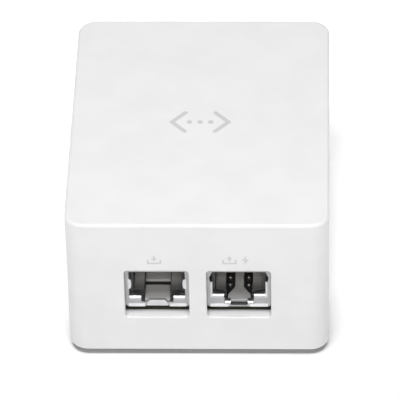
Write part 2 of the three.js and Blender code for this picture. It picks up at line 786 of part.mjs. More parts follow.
// A power package fixed to the heat sink: a plastic body with a metal tab above it.
function powerPackage(y) {
  const { x, width, bottom, top, tab, tabTop, pitch } = PACKAGE;
  const across = [y - width / 2, y + width / 2];
  const tabHole = box([x[1] - 3, x[1] + 1], [y - 1.7, y + 1.7], [ON_BOARD + 13.5, ON_BOARD + 16.5]);
  const body = box(x, across, [ON_BOARD + bottom, ON_BOARD + top]);
  const plate = box([x[1] - tab, x[1]], across, [ON_BOARD + top - 0.1, ON_BOARD + tabTop]);
  const legs = [-pitch, 0, pitch].map((step) =>
    box([18.6, 19.2], [y + step - 0.4, y + step + 0.4], [ON_BOARD, ON_BOARD + bottom + 0.1]),
  );
  return join(body, cut(plate, tabHole), ...legs);
}

function addBoard() {
  add("main_board", mainBoard(), FINISHES.board);
  add("insulation_sheet", insulationSheet(), FINISHES.film);
  CORNER_SIGNS.forEach(([sx, sy], i) => {
    const screw = screwFromAbove(sx * BOARD_SCREW.x, sy * BOARD_SCREW.y);
    add("board_screw_" + (i + 1), screw, FINISHES.steel);
  });
  add("fuse", fuse(), FINISHES.glass);
  add("varistor", standingDisc(VARISTOR), FINISHES.ceramicBlue);
  add("x_capacitor", block(X_CAPACITOR), FINISHES.yellowBlock);
  add("choke_core", chokeCore(), FINISHES.ferrite);
  add("choke_winding_1", chokeWinding(-1), FINISHES.copper);
  add("choke_winding_2", chokeWinding(1), FINISHES.copper);
  add("bridge_rectifier", block(BRIDGE), FINISHES.blackPlastic);
  add("bulk_capacitor", electrolytic(BULK_CAPACITOR), FINISHES.capacitorSleeve);
  add("transformer_core", transformerCore(), FINISHES.ferrite);
  add("transformer_winding", transformerWinding(), FINISHES.tape);
  add("heat_sink", heatSink(), FINISHES.aluminium);
  add("switching_transistor", powerPackage(PACKAGE_Y.transistor), FINISHES.blackPlastic);
  add("output_diode", powerPackage(PACKAGE_Y.diode), FINISHES.blackPlastic);
  OUTPUT_CAPACITOR.x.forEach((x, i) => {
    const can = electrolytic({ ...OUTPUT_CAPACITOR, x });
    add("output_capacitor_" + (i + 1), can, FINISHES.capacitorSleeve);
  });
  add("optocoupler", block(OPTOCOUPLER), FINISHES.blackPlastic);
  add("lan_transformer", block(LAN_TRANSFORMER), FINISHES.blackPlastic);
  add("pse_controller", block(PSE_CONTROLLER), FINISHES.blackPlastic);
}

addCasing();
addJack(-1, "in");
addJack(1, "out");
addInlet();
addBoard();

export default injector;
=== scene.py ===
"""Looks of the power-over-Ethernet injector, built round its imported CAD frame. Metres, +Z up.

The jacks face -Y and the mains inlet faces +Y. Sizes come from the frame's boxes or from the
named values below. Both are in millimetres, and MM turns them into metres where a mesh or a
material is made. The stage's, the lights' and the camera's values are in metres.
"""

import math

import bmesh
import bpy
from mathutils import Matrix, Vector


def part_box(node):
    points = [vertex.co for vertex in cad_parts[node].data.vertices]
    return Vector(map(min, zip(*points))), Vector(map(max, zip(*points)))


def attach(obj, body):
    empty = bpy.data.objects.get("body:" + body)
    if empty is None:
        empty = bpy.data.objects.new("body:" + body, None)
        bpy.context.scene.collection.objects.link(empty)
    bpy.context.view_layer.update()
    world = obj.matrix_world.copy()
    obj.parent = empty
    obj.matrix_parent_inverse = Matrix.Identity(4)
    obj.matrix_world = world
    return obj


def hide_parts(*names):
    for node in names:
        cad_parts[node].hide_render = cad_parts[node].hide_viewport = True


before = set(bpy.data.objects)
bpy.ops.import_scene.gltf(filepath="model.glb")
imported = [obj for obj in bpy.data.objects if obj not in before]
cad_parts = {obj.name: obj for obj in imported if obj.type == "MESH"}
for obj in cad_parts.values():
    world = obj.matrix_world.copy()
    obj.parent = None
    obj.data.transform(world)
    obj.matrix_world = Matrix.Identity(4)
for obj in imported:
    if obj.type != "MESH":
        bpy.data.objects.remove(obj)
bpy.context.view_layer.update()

MM = 0.001
ROOT = "injector"
SIDES = ("in", "out")
CORNERS = range(1, 5)  # the numbers of the screws and the feet
PRINT = 0.015  # thickness of the printed marks: the casing's outside lies this far inside the CAD's
PAST = 1.0  # how far a cutter, or the root of a boss, reaches past the surface it meets

# ---------------- outlines and solids


def node_box(name):
    """A CAD node's limits in millimetres: (low corner, high corner)."""
    low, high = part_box(name)
    return low / MM, high / MM


def middle_of(name):
    low, high = node_box(name)
    return (low + high) / 2


def arc(centre, radius, start, end, steps):
    """Points on an arc, angles in degrees, both ends included."""
    angles = [math.radians(start + (end - start) * i / steps) for i in range(steps + 1)]
    return [(centre[0] + radius * math.cos(a), centre[1] + radius * math.sin(a)) for a in angles]


def rounded(width, height, radius, steps=10, centre=(0.0, 0.0)):
    """A rounded rectangle, counter-clockwise."""
    x, y, r = width / 2, height / 2, max(radius, 0.01)
    points = []
    for sx, sy, start in ((1, 1, 0), (-1, 1, 90), (-1, -1, 180), (1, -1, 270)):
        corner = (centre[0] + sx * (x - r), centre[1] + sy * (y - r))
        points += arc(corner, r, start, start + 90, steps)
    return points


def circle(radius, steps=32, centre=(0.0, 0.0)):
    return arc(centre, radius, 0, 360 - 360 / steps, steps - 1)


def flat(points, z):
    """An outline in X and Y, at height z."""
    return [Vector((x, y, z)) for x, y in points]


def upright(points, y):
    """An outline in X and Z, at depth y."""
    return [Vector((x, y, z)) for x, z in points]


def sideways(points, x):
    """An outline in Y and Z, at x."""
    return [Vector((x, y, z)) for y, z in points]


def make_piece(name, mesh_tool):
    bmesh.ops.recalc_face_normals(mesh_tool, faces=mesh_tool.faces)
    mesh = bpy.data.meshes.new(name)
    mesh_tool.to_mesh(mesh)
    mesh_tool.free()
    piece = bpy.data.objects.new(name, mesh)
    bpy.context.scene.collection.objects.link(piece)
    return piece


def loft(name, rings):
    """A solid through rings of equal length, in millimetres. The first and last rings are filled."""
    tool = bmesh.new()
    rows = [[tool.verts.new(p * MM) for p in ring] for ring in rings]
    tool.faces.new(rows[0][::-1])
    tool.faces.new(rows[-1])
    count = len(rows[0])
    for low, high in zip(rows, rows[1:]):
        for i in range(count):
            j = (i + 1) % count
            tool.faces.new((low[i], low[j], high[j], high[i]))
    return make_piece(name, tool)


def block(name, x, y, z):
    """A box from its limits on each axis."""
    corners = ((x[0], y[0]), (x[1], y[0]), (x[1], y[1]), (x[0], y[1]))
    return loft(name, [flat(corners, z[0]), flat(corners, z[1])])


def post(name, x, y, radius, z0, z1, steps=32):
    return loft(name, [flat(circle(radius, steps, (x, y)), z) for z in (z0, z1)])


def turned(name, profile, x=0.0, y=0.0, steps=40):
    """A solid of revolution about an upright axis: profile is (radius, z) from bottom to top."""
    return loft(name, [flat(circle(r, steps, (x, y)), z) for r, z in profile])


def evaluated_mesh(piece):
    """Applies a piece's modifiers."""
    graph = bpy.context.evaluated_depsgraph_get()
    mesh = bpy.data.meshes.new_from_object(piece.evaluated_get(graph))
    piece.modifiers.clear()
    old = piece.data
    piece.data = mesh
    bpy.data.meshes.remove(old)
    mesh.name = piece.name


def combine(piece, others, operation):
    for other in others:
        change = piece.modifiers.new("combine", "BOOLEAN")
        change.operation = operation
        change.solver = "EXACT"
        change.object = other
    evaluated_mesh(piece)
    for other in others:
        bpy.data.objects.remove(other)
    return piece


def carve(piece, *cutters):
    return combine(piece, cutters, "DIFFERENCE")


def unite(piece, *others):
    return combine(piece, others, "UNION")


def join(piece, *others):
    """Puts other closed solids into the same object, untouched."""
    tool = bmesh.new()
    for source in (piece, *others):
        tool.from_mesh(source.data)
    tool.to_mesh(piece.data)
    tool.free()
    for other in others:
        bpy.data.objects.remove(other)
    return piece


def ease(piece, width, segments=2, angle=40):
    """Rounds the edges sharper than angle."""
    change = piece.modifiers.new("ease", "BEVEL")
    change.width = width * MM
    change.segments = segments
    change.limit_method = "ANGLE"
    change.angle_limit = math.radians(angle)
    change.use_clamp_overlap = True
    evaluated_mesh(piece)
    return piece


def smooth(piece, angle=32):
    """Smooth shading with sharp edges kept, and flat faces left flat."""
    mesh = piece.data
    mesh.shade_smooth()
    mesh.set_sharp_from_angle(angle=math.radians(angle))
    change = piece.modifiers.new("weigh", "WEIGHTED_NORMAL")
    change.keep_sharp = True
    evaluated_mesh(piece)
    return piece


def dress(piece, material, slot, *nodes, body=ROOT):
    """Gives a finished piece its material and body, and hides the CAD nodes it stands for. The slot argument
    is not used.
    """
    piece.data.materials.clear()
    piece.data.materials.append(material)
    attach(piece, body)
    if nodes:
        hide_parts(*nodes)
    return piece


# ---------------- materials


class Nodes:
    """A short way to write a material's node tree."""

    def __init__(self, name):
        self.material = bpy.data.materials.new(name)
        self.material.use_nodes = True
        self.tree = self.material.node_tree
        self.shader = self.tree.nodes["Principled BSDF"]
        self.place = self.add("ShaderNodeTexCoord").outputs["Object"]

    def add(self, kind, **settings):
        node = self.tree.nodes.new(kind)
        for key, value in settings.items():
            setattr(node, key, value)
        return node

    def link(self, source, target):
        self.tree.links.new(source, target)

    def stretched(self, scale):
        """Object coordinates, stretched on each axis."""
        mapping = self.add("ShaderNodeMapping")
        mapping.inputs["Scale"].default_value = scale
        self.link(self.place, mapping.inputs["Vector"])
        return mapping.outputs["Vector"]

    def noise(self, size, detail=3.0, roughness=0.5, place=None):
        """Noise whose features are about size millimetres across."""
        node = self.add("ShaderNodeTexNoise")
        node.inputs["Scale"].default_value = 1 / (size * MM)
        node.inputs["Detail"].default_value = detail
        node.inputs["Roughness"].default_value = roughness
        self.link(place or self.place, node.inputs["Vector"])
        return node.outputs["Fac"]

    def ramp(self, factor, *stops):
        """Colours along a factor: stops are (position, colour or grey)."""
        node = self.add("ShaderNodeValToRGB")
        elements = node.color_ramp.elements
        while len(elements) < len(stops):
            elements.new(0.5)
        for element, (position, colour) in zip(elements, stops):
            element.position = position
            grey = isinstance(colour, (int, float))
            element.color = (colour,) * 3 + (1,) if grey else (*colour, 1)
        self.link(factor, node.inputs["Fac"])
        return node.outputs["Color"]

    def even(self, noise, low, high):
        """Spreads low to high over the middle of a noise, where most of its values lie."""
        return self.ramp(noise, (0.3, low), (0.7, high))

    def along(self, axis):
        """One of the object coordinates."""
        split = self.add("ShaderNodeSeparateXYZ")
        self.link(self.place, split.inputs["Vector"])
        return split.outputs[axis]

    def between(self, value, start, end):
        """A straight line through two (value, result) points, held level outside them."""
        node = self.add("ShaderNodeMapRange")
        self.link(value, node.inputs["Value"])
        for limit, (place, result) in (("Min", start), ("Max", end)):
            node.inputs["From " + limit].default_value = place
            node.inputs["To " + limit].default_value = result
        return node.outputs["Result"]

    def bump(self, height, depth, strength=1.0):
        """Bump of depth millimetres."""
        node = self.add("ShaderNodeBump")
        node.inputs["Strength"].default_value = strength
        node.inputs["Distance"].default_value = depth * MM
        self.link(height, node.inputs["Height"])
        return node.outputs["Normal"]

    def set(self, **values):
        """Sets or links the shader's sockets, named with underscores."""
        for key, value in values.items():
            socket = self.shader.inputs[key.replace("_", " ")]
            if isinstance(value, bpy.types.NodeSocket):
                self.link(value, socket)
            else:
                socket.default_value = value
        return self.material


def darker(colour, share):
    """A colour dimmed to a share of itself."""
    return tuple(c * share for c in colour)


def moulded(name, colour, roughness, grain=0.25, depth=0.006, specular=0.5):
    """Moulded plastic: spark-eroded grain, slight unevenness of tone and gloss."""
    n = Nodes(name)
    tone = n.even(n.noise(9.0, 2.0), darker(colour, 0.965), colour)
    gloss = n.even(n.noise(1.6, 3.0), roughness - 0.05, roughness + 0.05)
    normal = n.bump(n.noise(grain, 2.0, 0.6), depth)
    return n.set(Base_Color=tone, Roughness=gloss, Normal=normal, Specular_IOR_Level=specular)


def graded(name, near, far, roughness):
    """Moulded plastic whose grey changes along Y, as painted light and shade inside a jack: near and far are
    (place in mm, grey).
    """
    n = Nodes(name)
    inwards = n.between(n.along("Y"), (near[0] * MM, 0.0), (far[0] * MM, 1.0))
    tone = n.ramp(inwards, (0.0, near[1]), (1.0, far[1]))
    normal = n.bump(n.noise(0.15, 2.0, 0.6), 0.003)
    gloss = n.even(n.noise(0.8), roughness - 0.05, roughness + 0.05)
    return n.set(Base_Color=tone, Roughness=gloss, Normal=normal)


def sheet_metal(name, colour, roughness):
    """Plated sheet: fine upright rolling lines, with faint stains."""
    n = Nodes(name)
    lines = n.noise(0.12, 3.0, 0.6, n.stretched((1, 1, 0.06)))
    tone = n.even(n.noise(2.2, 3.0), darker(colour, 0.9), colour)
    gloss = n.even(lines, roughness - 0.06, roughness + 0.08)
    normal = n.bump(lines, 0.004, 0.6)
    return n.set(Base_Color=tone, Roughness=gloss, Metallic=1.0, Normal=normal)


def plated(name, colour, roughness):
    """Bright plated metal with a little unevenness."""
    n = Nodes(name)
    tone = n.ramp(n.noise(0.8, 3.0), (0.25, darker(colour, 0.85)), (0.75, colour))
    gloss = n.even(n.noise(0.4, 2.0), roughness * 0.8, roughness * 1.3)
    return n.set(Base_Color=tone, Roughness=gloss, Metallic=1.0)


def rubber(name, colour):
    """Matt rubber with a coarse skin."""
    n = Nodes(name)
    tone = n.even(n.noise(1.0, 4.0), darker(colour, 0.7), colour)
    normal = n.bump(n.noise(0.15, 3.0, 0.7), 0.02)
    return n.set(Base_Color=tone, Roughness=0.85, Normal=normal, Specular_IOR_Level=0.3)


def laminate(name, painted_shade_end):
    """Green solder mask with copper tracks under it; the board's front part, up to the given place along Y,
    is painted near black as painted shade.
    """
    n = Nodes(name)
    cells = n.add("ShaderNodeTexBrick")
    cells.inputs["Scale"].default_value = 140.0
    cells.inputs["Mortar Size"].default_value = 0.03
    cells.inputs["Color1"].default_value = (0.012, 0.10, 0.045, 1)
    cells.inputs["Color2"].default_value = (0.016, 0.13, 0.06, 1)
    cells.inputs["Mortar"].default_value = (0.018, 0.145, 0.065, 1)
    n.link(n.place, cells.inputs["Vector"])
    normal = n.bump(cells.outputs["Fac"], 0.03)
    gloss = n.even(n.noise(1.0), 0.3, 0.42)
    edge = n.add("ShaderNodeMath", operation="GREATER_THAN")
    edge.inputs[1].default_value = painted_shade_end * MM
    n.link(n.along("Y"), edge.inputs[0])
    mix = n.add("ShaderNodeMix", data_type="RGBA")
    # painted shade: near black for the board's front part, seen in shadow through the gaps under the jacks
    mix.inputs["A"].default_value = (0.012, 0.012, 0.011, 1)
    n.link(edge.outputs[0], mix.inputs["Factor"])
    n.link(cells.outputs["Color"], mix.inputs["B"])
    return n.set(Base_Color=mix.outputs["Result"], Roughness=gloss, Normal=normal)


WAVES_PER_SCALE = 3.2  # bands of the wave texture per unit of length, at a scale of 1


def wound(name, colour, pitch, direction="Z"):
    """Wire or tape wound in even turns."""
    n = Nodes(name)
    wave = n.add("ShaderNodeTexWave", bands_direction=direction)
    wave.inputs["Scale"].default_value = 1 / (pitch * MM) / WAVES_PER_SCALE
    wave.inputs["Distortion"].default_value = 0.4
    n.link(n.place, wave.inputs["Vector"])
    tone = n.ramp(wave.outputs["Fac"], (0.1, darker(colour, 0.55)), (0.8, colour))
    normal = n.bump(wave.outputs["Fac"], 0.12)
    return n.set(Base_Color=tone, Roughness=0.35, Normal=normal)


WHITE = moulded("white_plastic", (0.80, 0.80, 0.80), 0.48, grain=0.22, depth=0.004)
GREY = moulded("grey_plastic", (0.27, 0.27, 0.275), 0.5)
MARK = moulded("mark_print", (0.60, 0.60, 0.605), 0.4, grain=0.3, depth=0.002)
RUBBER = rubber("foot_rubber", (0.05, 0.05, 0.053))
TIN = sheet_metal("tinned_sheet", (0.47, 0.47, 0.48), 0.4)
# painted highlight: a brighter copy of the tinned sheet, for the folded lips, springs and studs
BRIGHT_SHEET_PAINTED_HIGHLIGHT = sheet_metal("bright_sheet_painted_highlight", (0.74, 0.74, 0.75), 0.34)
# painted highlight: a brighter copy of the tinned sheet for the "in" shield's tab, lit where it bends at the
# mouth
TAB_SHEET_PAINTED_HIGHLIGHT = sheet_metal("tab_sheet_painted_highlight", (0.7, 0.7, 0.71), 0.36)
# painted highlight: the brightest copy of the tinned sheet, for the strips along the shield face's lower edge
HEM_SHEET_PAINTED_HIGHLIGHT = sheet_metal("hem_sheet_painted_highlight", (0.86, 0.86, 0.87), 0.34)
JACK_BLACK = moulded("jack_plastic", (0.05, 0.05, 0.053), 0.45, grain=0.15, depth=0.003)
# painted light: the jack floor's grey ramps from 0.45 at the mouth to 0.95 deep inside, where the window's
# top edge shades it
JACK_FLOOR_PAINTED_LIGHT = graded("jack_floor_painted_light", (-38.1, 0.45), (-32.0, 0.95), 0.4)
# painted shade near the mouth, where the side floors are near black, fading to painted light deep inside
JACK_SIDE_PAINTED_SHADE = graded("jack_side_painted_shade", (-37.2, 0.05), (-32.4, 0.75), 0.42)
GOLD = plated("gold_wire", (0.95, 0.70, 0.28), 0.22)
INLET_BLACK = moulded("inlet_plastic", (0.028, 0.028, 0.03), 0.42, grain=0.2, depth=0.005)
NICKEL = plated("nickel_blade", (0.78, 0.76, 0.72), 0.2)
STEEL = plated("screw_zinc", (0.62, 0.62, 0.64), 0.3)
# painted shade: the board is near black in front of -28 mm along Y
LAMINATE = laminate("board_laminate", -28.0)
FIBRE = moulded("insulation_fibre", (0.45, 0.42, 0.34), 0.7, grain=0.4, depth=0.02)
EPOXY = moulded("chip_epoxy", (0.03, 0.03, 0.032), 0.45, grain=0.12, depth=0.006)
FERRITE = moulded("ferrite", (0.045, 0.045, 0.05), 0.55, grain=0.2, depth=0.01)
SLEEVE = moulded("capacitor_sleeve", (0.02, 0.025, 0.045), 0.28, grain=1.0, depth=0.01)
LACQUER = moulded("disc_lacquer", (0.02, 0.09, 0.42), 0.25, grain=0.8, depth=0.02)
YELLOW = moulded("film_capacitor_case", (0.62, 0.38, 0.04), 0.4)
TAPE = wound("winding_tape", (0.72, 0.52, 0.06), 1.6)
COPPER = wound("winding_wire", (0.72, 0.26, 0.09), 0.7, "X")
ALUMINIUM = sheet_metal("heat_sink_aluminium", (0.72, 0.73, 0.74), 0.42)
GLASS = moulded("fuse_glass", (0.72, 0.76, 0.76), 0.12, grain=2.0, depth=0.001)

# ---------------- casing

CASE_CORNER = 4.8
CASE_EDGE = 0.8
RIM_EDGE = 0.3
WALL = 2.0
CORNER_STEPS = 18
CEILING_COVE = ((1.0, 0.0), (0.3, 0.3), (0.0, 1.0))  # (inset, drop) where the ceiling meets the walls
BOSS_RADIUS = 3.5
BOSS_FOOT = 4.4  # above the base's underside
BOSS_HOLE = 1.8
BOSS_HOLE_DEPTH = 12.0

WINDOW_CORNER = 1.0
WINDOW_EDGE = 0.35
FRAME_DEPTH = 2.07
SHELF_DEPTH = 3.1  # the window frame reaches further in under the jacks
FRAME_BORDER = 2.0
WINDOW_WIDTH = 15.94
WINDOW_Z = (12.4, 27.6)
INLET_WINDOW_WIDTH = 28.6
INLET_WINDOW_CORNER = 1.2
INLET_GAP = 0.3  # above and below the inlet's body


def case_ring(width, depth, inset, z, corner=CASE_CORNER):
    """The casing's outline at height z, moved in by inset."""
    outline = rounded(width - 2 * inset, depth - 2 * inset, corner - inset, CORNER_STEPS)
    return flat(outline, z)


def fillet(radius, steps):
    """(inset, drop) along a quarter circle that ends level with the top."""
    turns = [math.pi / 2 * i / steps for i in range(steps + 1)]
    return [(radius * (1 - math.cos(a)), radius * (1 - math.sin(a))) for a in turns]


def rounded_mouth(radius, steps):
    """(into, grow) across an opening's rounded outer edge, from the face inwards."""
    depths = [radius * i / steps for i in range(steps + 1)]
    return [(into, radius - math.sqrt(radius**2 - (radius - into) ** 2)) for into in depths]


def window_cutter(centre, size, corner, face, inwards, depth):
    """Cuts through a wall from outside, leaving a rounded outer edge."""
    rings = []
    for into, grow in ((-PAST, WINDOW_EDGE), *rounded_mouth(WINDOW_EDGE, 5), (depth, 0.0)):
        outline = rounded(size[0] + 2 * grow, size[1] + 2 * grow, corner + grow, 8, centre)
        rings.append(upright(outline, face + inwards * into))
    return loft("window", rings)


def jack_middle(side):
    return middle_of(f"{side}_jack_shield").x


def build_case():
    low, high = node_box("upper_case")
    width, depth = high.x - low.x - 2 * PRINT, high.y - low.y - 2 * PRINT
    rings = [case_ring(width, depth, WALL + inset, high.z - WALL - drop) for inset, drop in CEILING_COVE]
    rings.append(case_ring(width, depth, WALL, low.z))
    for inset, drop in fillet(RIM_EDGE, 4)[::-1]:
        rings.append(case_ring(width, depth, inset, low.z + drop))
    for inset, drop in fillet(CASE_EDGE, 8):
        rings.append(case_ring(width, depth, inset, high.z - PRINT - drop))
    case = loft("case_shell", rings)

    front, back = low.y + PRINT, high.y - PRINT
    inside = front + WALL / 2
    half = jack_middle("out") + WINDOW_WIDTH / 2 + FRAME_BORDER
    border = (WINDOW_Z[0] - FRAME_BORDER, WINDOW_Z[1] + FRAME_BORDER)
    unite(
        case,
        block("pad", (-half, half), (inside, low.y + FRAME_DEPTH), border),
        block("shelf", (-half, half), (inside, low.y + SHELF_DEPTH), (border[0], WINDOW_Z[0])),
    )
    boss_foot = node_box("base_plate")[0].z + BOSS_FOOT
    for number in CORNERS:
        x, y = middle_of(f"case_screw_{number}").xy
        unite(case, post("boss", x, y, BOSS_RADIUS, boss_foot, high.z - WALL / 2))
        carve(case, post("hole", x, y, BOSS_HOLE, boss_foot - PAST, boss_foot + BOSS_HOLE_DEPTH, 20))
    size = (WINDOW_WIDTH, WINDOW_Z[1] - WINDOW_Z[0])
    for side in SIDES:
        centre = (jack_middle(side), sum(WINDOW_Z) / 2)
        carve(case, window_cutter(centre, size, WINDOW_CORNER, front, 1, FRAME_DEPTH + PAST))
    inlet_low, inlet_high = node_box("inlet_body")
    size = (INLET_WINDOW_WIDTH, inlet_high.z - inlet_low.z + 2 * INLET_GAP)
    centre = (0.0, middle_of("inlet_body").z)
    carve(case, window_cutter(centre, size, INLET_WINDOW_CORNER, back, -1, WALL + PAST))
    smooth(case)
    dress(case, WHITE, "case_plastic", "upper_case")


build_case()

# ---------------- base, feet and case screws

BASE_FLOOR = 2.6
BASE_COVE = 0.4
BASE_LIP_TOP = 4.6
BASE_BOTTOM_EDGE = 0.35
BASE_TOP_EDGE = 0.15
LIP_GAP = 0.3
LIP_THICKNESS = 1.4
LIP_EDGE = 0.3
PANEL = (26.0, 34.0)  # the shallow panel on the underside
PANEL_CORNER = 1.5
PANEL_DEPTH = 0.25

SINK = ((1.4, -PAST), (0.7, 0.0), (0.4, 0.3))  # (past the screw head's radius, above the underside)
SINK_DEPTH = 2.0  # above the case screw's crown
SINK_WALL = 1.3
SCREW_BORE = 1.8
PILLAR_FOOT = ((4.0, -PAST), (4.0, 0.0), (3.4, 0.6), (3.2, 1.4))  # (radius, above the floor)
PILLAR_TOP = ((3.2, 0.5), (3.0, 0.3))  # (radius, below the board)
PILOT_BORE = 1.55
PILOT_START = 1.0  # above the floor

FOOT_POCKET = 0.3
FOOT_DISH = ((1.5, 0.12), (1.2, 0.03), (0.9, 0.0))  # (inside the foot's radius, above its underside)
FOOT_EDGE = 0.4
FOOT_TOP_EDGE = 0.15

SCREW_HEAD = 1.65
SCREW_CROWN = 0.55  # height of the head's rounded part
SCREW_EDGE = 0.12
SCREW_NECK = 0.6
SCREW_RECESS = (-0.4, 1.2)  # limits of the cross recess's cutter, below the crown


def cross_cutter(x, y, half, z_open, z_end):
    """A cross recess: two tapered slots, wide at z_open and narrow at z_end."""
    slots = []
    for turn in (0, 1):
        rings = []
        for z, size in ((z_open, 1.0), (z_end, 0.55)):
            long, thin = half * size, half * 0.27 * size
            size_x, size_y = (long, thin) if turn else (thin, long)
            rings.append(flat(rounded(2 * size_x, 2 * size_y, thin * 0.6, 3, (x, y)), z))
        slots.append(loft("slot", rings))
    return slots


def add_screw_sink(base, node, underside):
    """The boss on the base's floor with the recess and the bore for one case screw."""
    low, high = node_box(node)
    x, y = middle_of(node).xy
    head = (high.x - low.x) / 2
    unite(base, post("boss", x, y, head + SINK_WALL, BASE_FLOOR - PAST, BASE_LIP_TOP))
    profile = [(head + wider, underside + up) for wider, up in SINK]
    profile.append((profile[-1][0], low.z + SINK_DEPTH))
    bore = post("bore", x, y, SCREW_BORE, underside - PAST, BASE_LIP_TOP + PAST, 24)
    carve(base, turned("sink", profile, x, y), bore)


def add_pillar(base, node):
    """The pillar under the board for one board screw."""
    x, y = middle_of(node).xy
    board_under = node_box("main_board")[0].z
    profile = [(radius, BASE_FLOOR + up) for radius, up in PILLAR_FOOT]
    profile += [(radius, board_under - down) for radius, down in PILLAR_TOP]
    unite(base, turned("pillar", profile, x, y))
    carve(base, post("pilot", x, y, PILOT_BORE, BASE_FLOOR + PILOT_START, board_under + PAST, 24))


def build_base():
    low, high = node_box("base_plate")
    case_low, case_high = node_box("upper_case")
    width, depth = high.x - low.x, high.y - low.y
    corner = CASE_CORNER - (case_high.x - high.x)
    top = case_low.z - LIP_GAP
    rings = []
    for inset, drop in fillet(BASE_BOTTOM_EDGE, 5)[::-1]:
        rings.append(case_ring(width, depth, inset, low.z + drop, corner))
    for inset, drop in fillet(BASE_TOP_EDGE, 3):
        rings.append(case_ring(width, depth, inset, top - drop, corner))
    case_width, case_depth = case_high.x - case_low.x, case_high.y - case_low.y
    gap = WALL + LIP_GAP
    well = gap + LIP_THICKNESS
    rings.append(case_ring(case_width, case_depth, gap, top))
    for inset, drop in fillet(LIP_EDGE, 3):
        rings.append(case_ring(case_width, case_depth, gap + inset, BASE_LIP_TOP - drop))
    for inset, z in ((0, BASE_LIP_TOP), (0, BASE_FLOOR + BASE_COVE), (BASE_COVE, BASE_FLOOR)):
        rings.append(case_ring(case_width, case_depth, well + inset, z))
    base = loft("base_tray", rings)
    for number in CORNERS:
        add_screw_sink(base, f"case_screw_{number}", low.z)
    for number in CORNERS:
        add_pillar(base, f"board_screw_{number}")
    for number in CORNERS:
        foot_low, foot_high = node_box(f"rubber_foot_{number}")
        x, y = middle_of(f"rubber_foot_{number}").xy
        radius = (foot_high.x - foot_low.x) / 2 + FOOT_POCKET
        carve(base, post("pocket", x, y, radius, low.z - PAST, foot_high.z + FOOT_POCKET, 48))
    panel = rounded(*PANEL, PANEL_CORNER, 6)
    carve(base, loft("panel", [flat(panel, low.z - PAST), flat(panel, low.z + PANEL_DEPTH)]))
    smooth(base)
    dress(base, GREY, "base_plastic", "base_plate")


def build_feet():
    for number in CORNERS:
        node = f"rubber_foot_{number}"
        low, high = node_box(node)
        radius = (high.x - low.x) / 2
        profile = [(radius - inside, low.z + up) for inside, up in FOOT_DISH]
        profile += arc((radius - FOOT_EDGE, low.z + FOOT_EDGE), FOOT_EDGE, -90, 0, 5)
        profile += [(radius, high.z - FOOT_TOP_EDGE), (radius - FOOT_TOP_EDGE, high.z)]
        foot = turned(f"foot_pad_{number}", profile, *middle_of(node).xy, 56)
        smooth(foot)
        dress(foot, RUBBER, "foot_rubber", node)


def screw_profile(head, shank, length):
    """A pan-head screw from the crown down: (radius, distance from the crown)."""
    turns = [math.radians(a) for a in range(15, 76, 12)]
    profile = [(head * math.sin(a), SCREW_CROWN * (1 - math.cos(a))) for a in turns]
    profile += [(head, 0.62), (head, SCREW_HEAD - SCREW_EDGE), (head - SCREW_EDGE, SCREW_HEAD)]
    neck, root, crest, pitch = shank * 0.86, shank * 0.78, shank, shank * 0.8
    along = SCREW_HEAD + SCREW_NECK
    profile += [(neck, SCREW_HEAD), (neck, along)]
    while along + pitch < length - 1.2:
        profile += [(crest, along + pitch * 0.5), (root, along + pitch)]
        along += pitch
    profile += [(shank * 0.75, length - 0.9), (shank * 0.2, length)]
    return profile


def build_screw(name, node, slot_half, up):
    """A cross-head screw whose crown points up or down."""
    low, high = node_box(node)
    x, y = middle_of(node).xy
    head = (high.x - low.x) / 2
    crown, sense = (high.z, -1) if up else (low.z, 1)
    profile = [(r, crown + sense * d) for r, d in screw_profile(head, head * 0.5, high.z - low.z)]
    screw = turned(name, profile[::-1] if up else profile, x, y, 32)
    carve(screw, *cross_cutter(x, y, slot_half, *(crown + sense * d for d in SCREW_RECESS)))
    smooth(screw, 40)
    dress(screw, STEEL, "screw_steel", node)


build_base()
build_feet()
for number in CORNERS:
    build_screw(f"base_screw_{number}", f"case_screw_{number}", 1.45, False)
    build_screw(f"circuit_screw_{number}", f"board_screw_{number}", 1.3, True)

# ---------------- jacks

SHEET = 0.4
SHIELD_CORNER = 1.0
SHIELD_FOLD = 0.25  # outer radius round the shield's face
SHIELD_SPREAD = 0.25  # each side wall stands this much nearer to the window's edge than the CAD's
SHIELD_LIFT = 0.35  # the shield's lower edge stands this far above the CAD's
FOLD = {"in": 0.8, "out": 0.75, "side": 0.6}  # outer radius where an edge of the opening is folded in
LIP_FLOOR = {"in": 17.4, "out": 18.05}
LATCH_LIP = 15.75
LIP_SHEET = 0.28
LIP_REACH = 1.6  # how far the opening's edge is folded in
# the hems' brightness is a painted highlight
HEM = (14.25, 15.25)  # lower and upper edge of the bright hems
HEM_START = {"in": 3.1, "out": 2.65}  # their inner ends, from the jack's middle
IN_HALF = 6.95
IN_SPRING = (20.1, 23.2)
SPRING_BULGE = 0.6
OUT_HALF = 6.45
OUT_SIDE_TOP = 22.3

PLUG_HALF = 5.95
PLUG_FLOOR = 17.8
PLUG_CEILING = 24.6
PLUG_DEPTH = 13.5
LATCH_HALF = 3.175
HOOK_HALF = 2.1
HOOK_FLOOR = 14.7
FACE_TOP = 25.6
# the blocks' pale grey is painted light, lighter further into the jack
LATCH_TOP = 15.7  # top of the light blocks in the latch's channel
CHANNEL_FLOOR = 15.2
SIDE_FLOOR_START = 0.35
HOUSING_WALL = 0.9
MEET = 0.1  # overlap of neighbouring cutters
STUD_RADIUS = 0.62

CONTACT_PITCH = 1.02
PIVOT_DEPTH = 4.0
PIVOT_Z = 25.2
CONTACT_BEND = 0.6
CONTACT_SLOPE = 16.0
CONTACT_RUN = 9.0
CONTACT_THICKNESS = 0.3
CONTACT_ROOT = 0.25  # the contact starts this far behind its pivot
INSERT_HALF = 4.43
INSERT_END = 15.0
INSERT_GAP = 0.3
COMB_BOTTOM = 21.2
COMB_HALF = 0.12
COMB_LENGTH = 1.8


